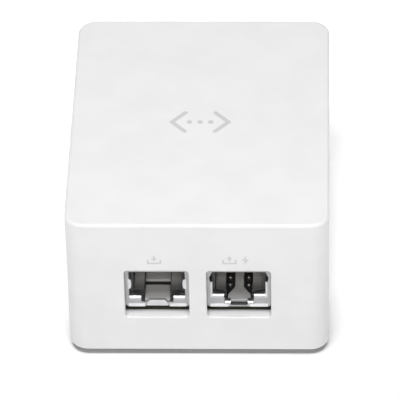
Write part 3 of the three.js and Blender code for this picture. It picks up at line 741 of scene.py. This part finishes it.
def jack_face(side):
    return node_box(f"{side}_jack_shield")[0].y


def mirrored(points):
    """A closed outline from its right half, given from the bottom up."""
    return points + [(-x, z) for x, z in reversed(points)]


def softened(outline, radius, steps=3):
    """Rounds an outline's corners."""
    count = len(outline)
    result = []
    for i in range(count):
        before, here, after = (Vector(outline[(i + k) % count]) for k in (-1, 0, 1))
        reach = min(radius, (before - here).length * 0.45, (after - here).length * 0.45)
        start = here + (before - here).normalized() * reach
        end = here + (after - here).normalized() * reach
        for k in range(steps + 1):
            t = k / steps
            result.append(tuple(start * (1 - t) ** 2 + here * 2 * t * (1 - t) + end * t**2))
    return result


def punch(name, outline, face):
    """Cuts an outline out of a shield's face."""
    return loft(name, [upright(outline, face - PAST), upright(outline, face + PAST)])


def placed(outline, x, sense=1):
    """An outline moved to x, and mirrored where sense is -1."""
    return [(x + sense * px, pz) for px, pz in outline]


def spring_arc(steps=12):
    """The inward bulge of the side springs, from its lower end to its upper end."""
    low, high = IN_SPRING
    middle, half = (low + high) / 2, (high - low) / 2
    turns = [math.pi * i / steps for i in range(steps + 1)]
    return [(IN_HALF - SPRING_BULGE * math.sin(a) ** 0.6, middle - half * math.cos(a)) for a in turns]


def in_opening():
    """The "in" shield's opening. Folded edges are cut back by the fold's radius."""
    floor = LIP_FLOOR["in"] - FOLD["in"]
    right = [(2.0, 16.5), (2.5, 15.75), (3.95, 15.75), (4.0, floor), (IN_HALF, floor)]
    right += spring_arc() + [(IN_HALF, FACE_TOP)]
    return mirrored(right)


def out_opening():
    """The "out" shield's opening, with the notch for the latch's hook."""
    floor, latch = LIP_FLOOR["out"] - FOLD["out"], LATCH_LIP - FOLD["out"] + 0.05
    side = OUT_HALF + FOLD["side"]
    right = [(1.95, HOOK_FLOOR), (HOOK_HALF, latch), (LATCH_HALF + 0.35, latch)]
    right += [(LATCH_HALF + 0.5, floor), (side, floor), (side, OUT_SIDE_TOP)]
    right += [(7.3, 23.2), (7.3, 23.9), (6.6, FACE_TOP)]
    return mirrored(right)


def fold_section(radius):
    """A sheet's edge folded in by a quarter turn: (into the jack, down from the folded side)."""
    inner, edge = radius - LIP_SHEET, 0.06
    turns = [math.pi / 2 * i / 8 for i in range(9)]
    outside = [(radius * (1 - math.cos(a)), radius * (1 - math.sin(a))) for a in turns]
    inside = [(radius - inner * math.cos(a), radius - inner * math.sin(a)) for a in turns]
    end = [(LIP_REACH - edge, 0.0), (LIP_REACH, 0.08)]
    end += [(LIP_REACH, LIP_SHEET - 0.08), (LIP_REACH - edge, LIP_SHEET)]
    return outside + end + inside[::-1]


def floor_lip(ends, z, face, radius):
    section = [(face + into, z - down) for into, down in fold_section(radius)]
    return loft("lip", [sideways(section, x) for x in ends])


def side_lip(x, sense, z_limits, face):
    section = [(x + sense * down, face + into) for into, down in fold_section(FOLD["side"])]
    return loft("lip", [flat(section, z) for z in z_limits])


def span(x, sense, near, far):
    """Limits in X on one side of a jack's middle, low first."""
    ends = (x + sense * near, x + sense * far)
    return min(ends), max(ends)


def shape_in_face(shield, x, face):
    """The "in" shield's slot and tab, with the lips and springs that join to its face."""
    slot = mirrored([(2.95, 12.0), (2.95, 14.35), (2.7, 14.6)])
    carve(shield, punch("slot", placed(slot, x), face))
    lips = []
    for sense in (-1, 1):
        lips.append(floor_lip(span(x, sense, 4.05, IN_HALF - 0.05), LIP_FLOOR["in"], face, FOLD["in"]))
        outer = spring_arc()
        inner = [(px + LIP_SHEET, pz) for px, pz in reversed(outer)]
        root = [(IN_HALF + 0.3, pz) for pz in reversed(IN_SPRING)]
        spring, collar = (placed(outer + rest, x, sense) for rest in (inner, root))
        lips.append(loft("spring", [upright(spring, face + y) for y in (0.1, LIP_REACH)]))
        lips.append(loft("spring_face", [upright(collar, face + y) for y in (-0.05, 0.25)]))
        ease(lips[-1], 0.04, 2)
    outline = placed(softened(mirrored([(2.8, 14.55), (1.98, 16.48)]), 0.3), x)
    tab = loft("in_shield_tab", [upright(outline, face + y) for y in (-0.05, 0.3)])
    ease(tab, 0.04, 2)
    smooth(tab, 35)
    # painted highlight: the tab is given the brighter sheet
    dress(tab, TAB_SHEET_PAINTED_HIGHLIGHT, "shield_metal")
    return lips


def shape_out_face(x, face):
    """The lips round the lower half of the "out" shield's opening."""
    floor, radius = LIP_FLOOR["out"], FOLD["out"]
    lips = []
    for sense in (-1, 1):
        lips.append(floor_lip(span(x, sense, LATCH_HALF + 0.55, OUT_HALF + 0.3), floor, face, radius))
        lips.append(floor_lip(span(x, sense, HOOK_HALF + 0.05, LATCH_HALF + 0.3), LATCH_LIP, face, radius))
        lips.append(side_lip(x + sense * OUT_HALF, sense, (floor - radius, OUT_SIDE_TOP), face))
    return lips


def build_shield(side):
    low, high = node_box(f"{side}_jack_shield")
    x = jack_middle(side)
    bottom = low.z + SHIELD_LIFT
    middle_z = (bottom + high.z) / 2
    width, height = high.x - low.x + 2 * SHIELD_SPREAD, high.z - bottom
    face, back = low.y, high.y

    def ring(inset, y, below=0.0):
        """The shield's outline moved in by inset, reaching further down by below."""
        size = (width - 2 * inset, height - 2 * inset + below)
        outline = rounded(*size, max(SHIELD_CORNER - inset, 0.2), 6, (x, middle_z - below / 2))
        return upright(outline, y)

    rings = [ring(inset, face + drop) for inset, drop in fillet(SHIELD_FOLD, 5)[::-1]]
    rings += [ring(0.0, back - 0.2), ring(0.2, back)]
    shield = loft(f"{side}_shield_can", rings)
    hollow = loft("hollow", [ring(SHEET, y, 2.0) for y in (face + SHEET, back - SHEET)])
    opening = placed(softened(in_opening() if side == "in" else out_opening(), 0.2), x)
    carve(shield, hollow, punch("opening", opening, face))
    lips = shape_in_face(shield, x, face) if side == "in" else shape_out_face(x, face)
    ease(shield, 0.07, 2, 50)
    smooth(shield, 35)
    dress(shield, TIN, "shield_metal", f"{side}_jack_shield")
    folds = join(*lips)
    folds.name = f"{side}_shield_folds"
    smooth(folds, 35)
    # painted highlight: the folds are given the brighter sheet
    dress(folds, BRIGHT_SHEET_PAINTED_HIGHLIGHT, "shield_metal")
    for index, sense in enumerate((-1, 1)):
        name = f"{side}_shield_hem_{index + 1}"
        hem = block(name, span(x, sense, HEM_START[side], width / 2 - 0.9), (face - 0.05, face + 0.2), HEM)
        ease(hem, 0.06, 2)
        smooth(hem, 35)
        # painted highlight: the hems are given the brightest sheet
        dress(hem, HEM_SHEET_PAINTED_HIGHLIGHT, "shield_metal")


def build_housing(side):
    low, high = node_box(f"{side}_jack_housing")
    x, face = jack_middle(side), low.y
    front, deep = face - PAST, jack_face(side) + PLUG_DEPTH
    body = block(f"{side}_housing_block", (low.x, high.x), (face, high.y), (low.z, high.z))
    halves = (PLUG_HALF, LATCH_HALF, INSERT_HALF + INSERT_GAP)
    plug, latch, chamber = ((x - half, x + half) for half in halves)
    rear = jack_face(side) + INSERT_END + INSERT_GAP
    carve(
        body,
        block("plug", plug, (front, deep), (PLUG_FLOOR, PLUG_CEILING)),
        block("latch", latch, (front, deep), (CHANNEL_FLOOR, PLUG_FLOOR + MEET)),
        block("top", chamber, (face + HOUSING_WALL, rear), (PLUG_CEILING - MEET, high.z + PAST)),
        block("rear", chamber, (deep - MEET, rear), (COMB_BOTTOM - INSERT_GAP, high.z + PAST)),
    )
    step = PLUG_FLOOR - 0.9
    for sense in (-1, 1):
        carve(body, block("side", span(x, sense, 5.2, 8), (front, face + 0.6), (low.z - PAST, CHANNEL_FLOOR)))
        near = span(x, sense, LATCH_HALF - MEET, PLUG_HALF)
        carve(body, block("step", near, (front, face + SIDE_FLOOR_START), (step, PLUG_FLOOR + MEET)))
    ease(body, 0.12, 2)
    smooth(body)
    dress(body, JACK_BLACK, "jack_plastic", f"{side}_jack_housing")
    for index, sense in enumerate((-1, 1)):
        across = span(x, sense, LATCH_HALF + 0.15, PLUG_HALF - 0.05)
        along = (face + SIDE_FLOOR_START + 0.1, deep - 0.2)
        pad = block(f"{side}_side_floor_{index + 1}", across, along, (PLUG_FLOOR - 0.6, PLUG_FLOOR + 0.06))
        ease(pad, 0.15, 3)
        smooth(pad)
        # painted shade near the mouth and painted light further in, through the side floors' grey ramp
        dress(pad, JACK_SIDE_PAINTED_SHADE, "jack_plastic")


def build_in_floor():
    """The latch floor in the "in" jack, its grey painted lighter further in: two blocks with a groove between
    them.
    """
    x, face = jack_middle("in"), jack_face("in")
    half = LATCH_HALF - 0.05
    nose = [(0.7, -1.3), (1.0, -0.5), (1.4, -0.12), (1.9, 0.0), (6.55, 0.0), (6.75, -0.2), (6.75, -1.3)]
    rear = [(8.35, -1.3), (8.35, -0.25), (8.6, 0.0), (13.2, 0.0), (13.2, -1.3)]
    for index, profile in enumerate((nose, rear)):
        section = softened([(face + into, LATCH_TOP + up) for into, up in profile], 0.15)
        pad = loft(f"in_latch_floor_{index + 1}", [sideways(section, end) for end in (x - half, x + half)])
        ease(pad, 0.1, 2, 60)
        smooth(pad)
        # painted light: the blocks' grey brightens further into the jack
        dress(pad, JACK_FLOOR_PAINTED_LIGHT, "jack_plastic")


def build_out_floor():
    """The rib down the middle of the "out" jack's latch floor, and the studs beside it."""
    x, face = jack_middle("out"), jack_face("out")
    tongue_z = (13.9, CHANNEL_FLOOR - 0.45)
    tongue = block("out_hook_stop", (x - 2.6, x + 2.6), (face + 0.9, face + 2.2), tongue_z)
    ease(tongue, 0.15, 2)
    smooth(tongue)
    dress(tongue, JACK_BLACK, "jack_plastic")
    outline = [(2.85, 1.1), (2.85, 3.1), (2.1, 4.3), (1.4, 5.4), (1.1, 6.2), (1.1, 13.2)]
    outline = [(x + px, face + into) for px, into in mirrored(outline)]
    rib = loft("out_latch_rib", [flat(outline, z) for z in (CHANNEL_FLOOR - 0.4, LATCH_TOP)])
    ease(rib, 0.2, 3)
    smooth(rib)
    # painted light: the rib's grey brightens further into the jack
    dress(rib, JACK_FLOOR_PAINTED_LIGHT, "jack_plastic")
    shoulder = CHANNEL_FLOOR + 0.2
    profile = [(STUD_RADIUS, CHANNEL_FLOOR - 0.2), (STUD_RADIUS, shoulder)]
    for turn in (math.radians(a) for a in (16, 32, 48, 64, 80)):
        profile.append((STUD_RADIUS * math.cos(turn), shoulder + 0.45 * math.sin(turn)))
    for row, into in enumerate((7.1, 9.9)):
        for column, sense in enumerate((-1, 1)):
            name = f"out_latch_stud_{2 * row + column + 1}"
            stud = turned(name, profile, x + sense * 2.35, face + into, 24)
            smooth(stud)
            # painted highlight: the studs are given the brighter sheet
            dress(stud, BRIGHT_SHEET_PAINTED_HIGHLIGHT, "shield_metal")


def build_insert(side):
    """The bar that carries a jack's contacts, and the comb that parts them."""
    low, high = node_box(f"{side}_jack_insert")
    across = (low.x, high.x)
    comb = jack_face(side) + PLUG_DEPTH + INSERT_GAP
    bar = block(f"{side}_contact_carrier", across, (low.y, high.y), (PIVOT_Z - 0.1, high.z))
    ease(bar, 0.2, 2)
    tooth = ((comb - COMB_LENGTH, high.y - 0.5), (COMB_BOTTOM + 0.02, PIVOT_Z + 0.1))
    guide = ((low.y + 0.1, comb - COMB_LENGTH + 0.1), (PIVOT_Z - 0.5, PIVOT_Z + 0.1))
    parts = [block("wall", across, (comb, high.y), (COMB_BOTTOM, PIVOT_Z + 0.2))]
    for i in range(9):
        middle = jack_middle(side) + (i - 4) * CONTACT_PITCH
        thin = (middle - COMB_HALF, middle + COMB_HALF)
        parts += [block("tooth", thin, *tooth), block("guide", thin, *guide)]
    join(bar, *parts)
    smooth(bar)
    dress(bar, JACK_BLACK, "jack_plastic", f"{side}_jack_insert")


def build_contact(side, number):
    """A flat wire that turns back under the insert and slopes down into the jack."""
    node = f"{side}_contact_{number}"
    low, high = node_box(node)
    x = middle_of(node).x
    section = rounded(high.x - low.x, CONTACT_THICKNESS, 0.1, 3)

    def ring(place, normal, wide=1.0, thick=1.0):
        points = [(x + across * wide, place + normal * (up * thick)) for across, up in section]
        return [Vector((px, point.x, point.y)) for px, point in points]

    pivot = Vector((jack_face(side) + PIVOT_DEPTH, PIVOT_Z))
    slope = math.radians(CONTACT_SLOPE)
    rings = [ring(pivot + Vector((CONTACT_ROOT, CONTACT_BEND)), Vector((0.0, 1.0)))]
    first, last = math.pi / 2, 1.5 * math.pi - slope
    for i in range(13):
        turn = first + (last - first) * i / 12
        out = Vector((math.cos(turn), math.sin(turn)))
        bend_end = pivot + out * CONTACT_BEND
        rings.append(ring(bend_end, out))
    run = Vector((math.cos(slope), -math.sin(slope))) * CONTACT_RUN
    for share in (0.15, 0.5, 0.85, 0.97):
        rings.append(ring(bend_end + run * share, out))
    rings.append(ring(bend_end + run, out, 0.6, 0.5))
    wire = loft(f"{side}_contact_wire_{number}", rings)
    smooth(wire, 40)
    dress(wire, GOLD, "contact_gold", node, body=f"{side}_contacts")


for side in SIDES:
    build_shield(side)
    build_housing(side)
    build_insert(side)
    for number in range(1, 9):
        build_contact(side, number)
build_in_floor()
build_out_floor()

# ---------------- mains inlet

INLET_WIDTH = 28.0
INLET_CORNER = 2.0
INLET_EDGE = 0.6
INLET_SOFT = 0.8
EAR_GAP = 0.3
EAR_THICKNESS = 2.0
EAR_HALF = 6.0
CAVITY = (24.6, 16.8)
CAVITY_DEPTH = 17.0
CAVITY_CORNER = 3.6
CAVITY_EDGE = 0.4
CAVITY_SOFT = 0.9
PINS = ("line", "neutral", "earth")
PIN_GAP = 0.15
PIN_TAIL = 1.6
PIN_CORNER = 0.35
PIN_TIP = ((0.0, 1.4), (0.12, 0.9), (0.3, 0.45), (0.55, 0.12), (0.8, 0.0))  # (inset, from the tip)


def clipped(width, height, corner, soft, z):
    """The inlet's outline: a rectangle with its two upper corners cut off, then rounded."""
    x, h = width / 2, height / 2
    right = [(x, -h), (x, h - corner), (x - corner, h)]
    outline = [(px, pz + z) for px, pz in mirrored(right)]
    return softened(outline, soft, 5)


def build_inlet():
    low, high = node_box("inlet_body")
    z, height, face = middle_of("inlet_body").z, high.z - low.z, high.y

    def body_ring(inset, y, corner=INLET_CORNER):
        return upright(clipped(INLET_WIDTH - 2 * inset, height - 2 * inset, corner, INLET_SOFT, z), y)

    def cavity_ring(grow, into):
        size = (CAVITY[0] + 2 * grow, CAVITY[1] + 2 * grow)
        return upright(clipped(*size, CAVITY_CORNER, CAVITY_SOFT, z), face - into)

    rings = [body_ring(0.5, low.y, INLET_CORNER - 0.2), body_ring(0.0, low.y + 0.5)]
    rings += [body_ring(inset, face - drop) for inset, drop in fillet(INLET_EDGE, 5)]
    body = loft("inlet_shell", rings)
    ear_face = node_box("upper_case")[1].y - WALL - EAR_GAP
    ear_y, ear_z = (ear_face - EAR_THICKNESS, ear_face), (z - EAR_HALF, z + EAR_HALF)
    ears = block("ears", (low.x, high.x), ear_y, ear_z)
    ease(ears, 0.3, 2)
    unite(body, ears)
    rings = [cavity_ring(CAVITY_EDGE, -PAST)]
    rings += [cavity_ring(grow, into) for into, grow in rounded_mouth(CAVITY_EDGE, 4)]
    rings += [cavity_ring(0.0, CAVITY_DEPTH - 0.5), cavity_ring(-0.5, CAVITY_DEPTH)]
    carve(body, loft("cavity", rings))
    along = (low.y - PAST, face - CAVITY_DEPTH + PAST)
    for pin in PINS:
        pin_low, pin_high = node_box(f"inlet_pin_{pin}")
        across, upwards = ((pin_low[i] - PIN_GAP, pin_high[i] + PIN_GAP) for i in (0, 2))
        carve(body, block("slot", across, along, upwards))
    smooth(body)
    dress(body, INLET_BLACK, "inlet_plastic", "inlet_body")


def build_pin(name):
    node = f"inlet_pin_{name}"
    low, high = node_box(node)
    middle = middle_of(node)
    width, height = high.x - low.x, high.z - low.z

    def ring(ring_width, ring_height, corner, y):
        return upright(rounded(ring_width, ring_height, corner, 4, (middle.x, middle.z)), y)

    rings = [ring(width * 0.8, height * 0.6, 0.2, y) for y in (low.y, low.y + PIN_TAIL)]
    rings.append(ring(width, height, PIN_CORNER, low.y + PIN_TAIL))
    for inset, back in PIN_TIP:
        corner = PIN_CORNER - inset * 0.4
        rings.append(ring(width - 2 * inset, height - 2 * inset, corner, high.y - back))
    blade = loft(f"inlet_blade_{name}", rings)
    smooth(blade, 40)
    dress(blade, NICKEL, "pin_nickel", node)


build_inlet()
for pin in PINS:
    build_pin(pin)

# ---------------- printed marks

MARK_SINK = 0.05  # how far a mark is let into the casing
STROKE = 1.15
TOP_MARK = {"half_width": 7.7, "half_height": 4.3, "middle": -0.9}
CHEVRON = 3.9  # from a chevron's tip to its ends
DOTS = {"radius": 0.72, "pitch": 2.7}
PORT_MARK_X = {"in": -10.55, "out": 8.0}
PORT_MARK_Z = 31.3
PORT_STROKE = 0.42
TRAY = {"half_width": 1.55, "rim": -0.15, "floor": -1.1}
ARROW = (-0.5, 1.25)  # the arrow's lower and upper end
BOLT_X = 11.9
BOLT = [(0.35, 1.4), (-0.95, -0.15), (-0.1, -0.15), (-0.35, -1.4), (0.95, 0.15), (0.1, 0.15)]


def stroke(points, width):
    """The outline of a line of even width, with rounded ends."""
    half = width / 2
    points = [Vector(p) for p in points]
    left, right = [], []
    for i, here in enumerate(points):
        before, after = points[max(i - 1, 0)], points[min(i + 1, len(points) - 1)]
        if i == 0 or i == len(points) - 1:
            along = (after - before).normalized()
            scale = 1.0
        else:
            a, b = (here - before).normalized(), (after - here).normalized()
            along = (a + b).normalized()
            scale = 1 / max(along.dot(a), 0.3)
        normal = Vector((-along.y, along.x)) * half * scale
        left.append(here + normal)
        right.append(here - normal)

    def cap(centre, start):
        angle = math.degrees(math.atan2(start.y, start.x))
        return [Vector(p) for p in arc(centre, half, angle, angle - 180, 8)][1:-1]

    tail = cap(points[-1], left[-1] - points[-1])
    head = cap(points[0], right[0] - points[0])
    return [tuple(p) for p in left + tail + right[::-1] + head]


def arrow(x, tail, tip, width):
    """An arrow along Z as one outline."""
    sense = 1 if tip > tail else -1
    head = tip - sense * 2.4 * width
    half, wide = width / 2, width * 1.75
    right = [(half, tail), (half, head), (wide, head), (0.0, tip)]
    left = [(-px, pz) for px, pz in reversed(right[:-1])]
    return [(x + px, pz) for px, pz in right + left]


def top_print(name, outline):
    top = node_box("upper_case")[1].z
    mark = loft(name, [flat(outline, top - PRINT - MARK_SINK), flat(outline, top - 0.001)])
    dress(mark, MARK, "case_plastic")


def front_print(name, outline):
    front = node_box("upper_case")[0].y
    mark = loft(name, [upright(outline, front + PRINT + MARK_SINK), upright(outline, front + 0.001)])
    dress(mark, MARK, "case_plastic")


def build_marks():
    tip, rise, y = (TOP_MARK[key] for key in ("half_width", "half_height", "middle"))
    edge = STROKE / 2
    for name, sense in (("left", -1), ("right", 1)):
        end = sense * (tip - CHEVRON)
        chevron = [(end, y + rise - edge), (sense * (tip - edge), y), (end, y - rise + edge)]
        top_print(f"top_mark_{name}", stroke(chevron, STROKE))
    for index in range(3):
        place = ((index - 1) * DOTS["pitch"], y)
        top_print(f"top_mark_dot_{index + 1}", circle(DOTS["radius"], 28, place))

    z = PORT_MARK_Z
    half, rim, floor = TRAY["half_width"], z + TRAY["rim"], z + TRAY["floor"]
    for side, x in PORT_MARK_X.items():
        tray = [(x - half, rim), (x - half, floor), (x + half, floor), (x + half, rim)]
        front_print(f"{side}_mark_tray", stroke(tray, PORT_STROKE))
        low, high = (z + end for end in ARROW)
        tail, tip = (high, low) if side == "in" else (low, high)
        front_print(f"{side}_mark_arrow", arrow(x, tail, tip, PORT_STROKE))
    front_print("out_mark_bolt", [(BOLT_X + px, z + pz) for px, pz in BOLT])


build_marks()

# ---------------- stage, light and camera, in metres

SKY_HORIZON = 0.07
SKY_TOP = 0.36
KEY_PLACE = (-0.03, -0.26, 0.87)
KEY_SIZE = 0.42  # the side of a square light
KEY_POWER = 6.3
FRONT_PLACE = (0.0, -0.75, 0.56)
FRONT_SIZE = 0.45
FRONT_POWER = 1.95
LIGHT_AIM = (0.0, 0.0, 0.02)
FLOOR_RADIUS = 3.0
FLOOR_DROP = 0.0001
BACK_GLOW = ((-0.045, 0.0), (-0.015, 0.36))  # the floor's own light: (place along Y, strength)
SIDE_GLOW = ((0.052, 0.0), (0.11, 0.55))  # (distance to either side, strength)


def build_stage():
    """A white floor that glows behind the object's front and well to its sides."""
    tool = bmesh.new()
    bmesh.ops.create_circle(tool, cap_ends=True, radius=FLOOR_RADIUS, segments=64)
    floor = make_piece("floor", tool)
    floor.location.z = -FLOOR_DROP
    n = Nodes("floor_paint")
    tone = n.even(n.noise(300.0, 2.0), 0.85, 0.87)
    aside = n.add("ShaderNodeMath", operation="ABSOLUTE")
    n.link(n.along("X"), aside.inputs[0])
    glow = n.add("ShaderNodeMath", operation="MAXIMUM")
    n.link(n.between(n.along("Y"), *BACK_GLOW), glow.inputs[0])
    n.link(n.between(aside.outputs[0], *SIDE_GLOW), glow.inputs[1])
    n.set(Base_Color=tone, Roughness=0.9, Specular_IOR_Level=0.0)
    n.set(Emission_Color=(1.0, 1.0, 1.0, 1), Emission_Strength=glow.outputs[0])
    floor.data.materials.append(n.material)


def area_light(name, place, size, power):
    light = bpy.data.lights.new(name, "AREA")
    light.size = size
    light.energy = power
    lamp = bpy.data.objects.new(name, light)
    bpy.context.scene.collection.objects.link(lamp)
    lamp.location = place
    aim = Vector(LIGHT_AIM) - Vector(place)
    lamp.rotation_euler = aim.to_track_quat("-Z", "Y").to_euler()


def build_light():
    """A sky that brightens upwards, a light over the object and one in front of it."""
    world = bpy.data.worlds.new("studio")
    bpy.context.scene.world = world
    world.use_nodes = True
    tree = world.node_tree
    place = tree.nodes.new("ShaderNodeTexCoord")
    split = tree.nodes.new("ShaderNodeSeparateXYZ")
    ramp = tree.nodes.new("ShaderNodeValToRGB")
    tree.links.new(place.outputs["Generated"], split.inputs["Vector"])
    tree.links.new(split.outputs["Z"], ramp.inputs["Fac"])
    for element, grey in zip(ramp.color_ramp.elements, (SKY_HORIZON, SKY_TOP)):
        element.color = (grey, grey, grey, 1)
    background = tree.nodes["Background"]
    tree.links.new(ramp.outputs["Color"], background.inputs["Color"])
    background.inputs["Strength"].default_value = 1.0
    area_light("key", KEY_PLACE, KEY_SIZE, KEY_POWER)
    area_light("front", FRONT_PLACE, FRONT_SIZE, FRONT_POWER)


CAMERA = {"azimuth": 2.3, "elevation": 39.72, "roll": -1.374, "distance": 1.0163, "lens": 358.5}
SENSOR = 36.0  # mm, as the lens
AIM_RIGHT, AIM_UP = 0.00044, 0.00462  # the object's middle, measured from the picture's middle


def build_camera():
    middle = middle_of("upper_case") * MM
    az, el = math.radians(CAMERA["azimuth"]), math.radians(CAMERA["elevation"])
    back = Vector((math.sin(az) * math.cos(el), -math.cos(az) * math.cos(el), math.sin(el)))
    turn = (-back).to_track_quat("-Z", "Y").to_matrix()
    turn = turn @ Matrix.Rotation(math.radians(CAMERA["roll"]), 3, "Z")
    right, up = turn.col[0], turn.col[1]
    place = middle + back * CAMERA["distance"]
    target = middle - right * AIM_RIGHT - up * AIM_UP
    ahead = (target - place).normalized()
    side = ahead.cross(up).normalized()
    basis = Matrix((side, side.cross(ahead), -ahead)).transposed()
    data = bpy.data.cameras.new("camera")
    data.lens = CAMERA["lens"]
    data.sensor_width = SENSOR
    data.clip_start, data.clip_end = 0.05, 20.0
    camera = bpy.data.objects.new("camera", data)
    bpy.context.scene.collection.objects.link(camera)
    camera.matrix_world = Matrix.Translation(place) @ basis.to_4x4()
    bpy.context.scene.camera = camera


build_stage()
build_light()
build_camera()
bpy.context.scene.view_settings.view_transform = "Standard"

# ---------------- parts that show the CAD's own shapes

FINISHES = (
    (LAMINATE, "main_board"),
    (FIBRE, "insulation_sheet"),
    (GLASS, "fuse"),
    (LACQUER, "varistor"),
    (YELLOW, "x_capacitor"),
    (FERRITE, "choke_core", "transformer_core"),
    (COPPER, "choke_winding_1", "choke_winding_2"),
    (TAPE, "transformer_winding"),
    (ALUMINIUM, "heat_sink"),
    (SLEEVE, "bulk_capacitor", "output_capacitor_1", "output_capacitor_2"),
    (EPOXY, "bridge_rectifier", "switching_transistor", "output_diode"),
    (EPOXY, "optocoupler", "lan_transformer", "pse_controller"),
)
for finish, *nodes in FINISHES:
    for node in nodes:
        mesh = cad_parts[node].data
        mesh.materials.clear()
        mesh.materials.append(finish)
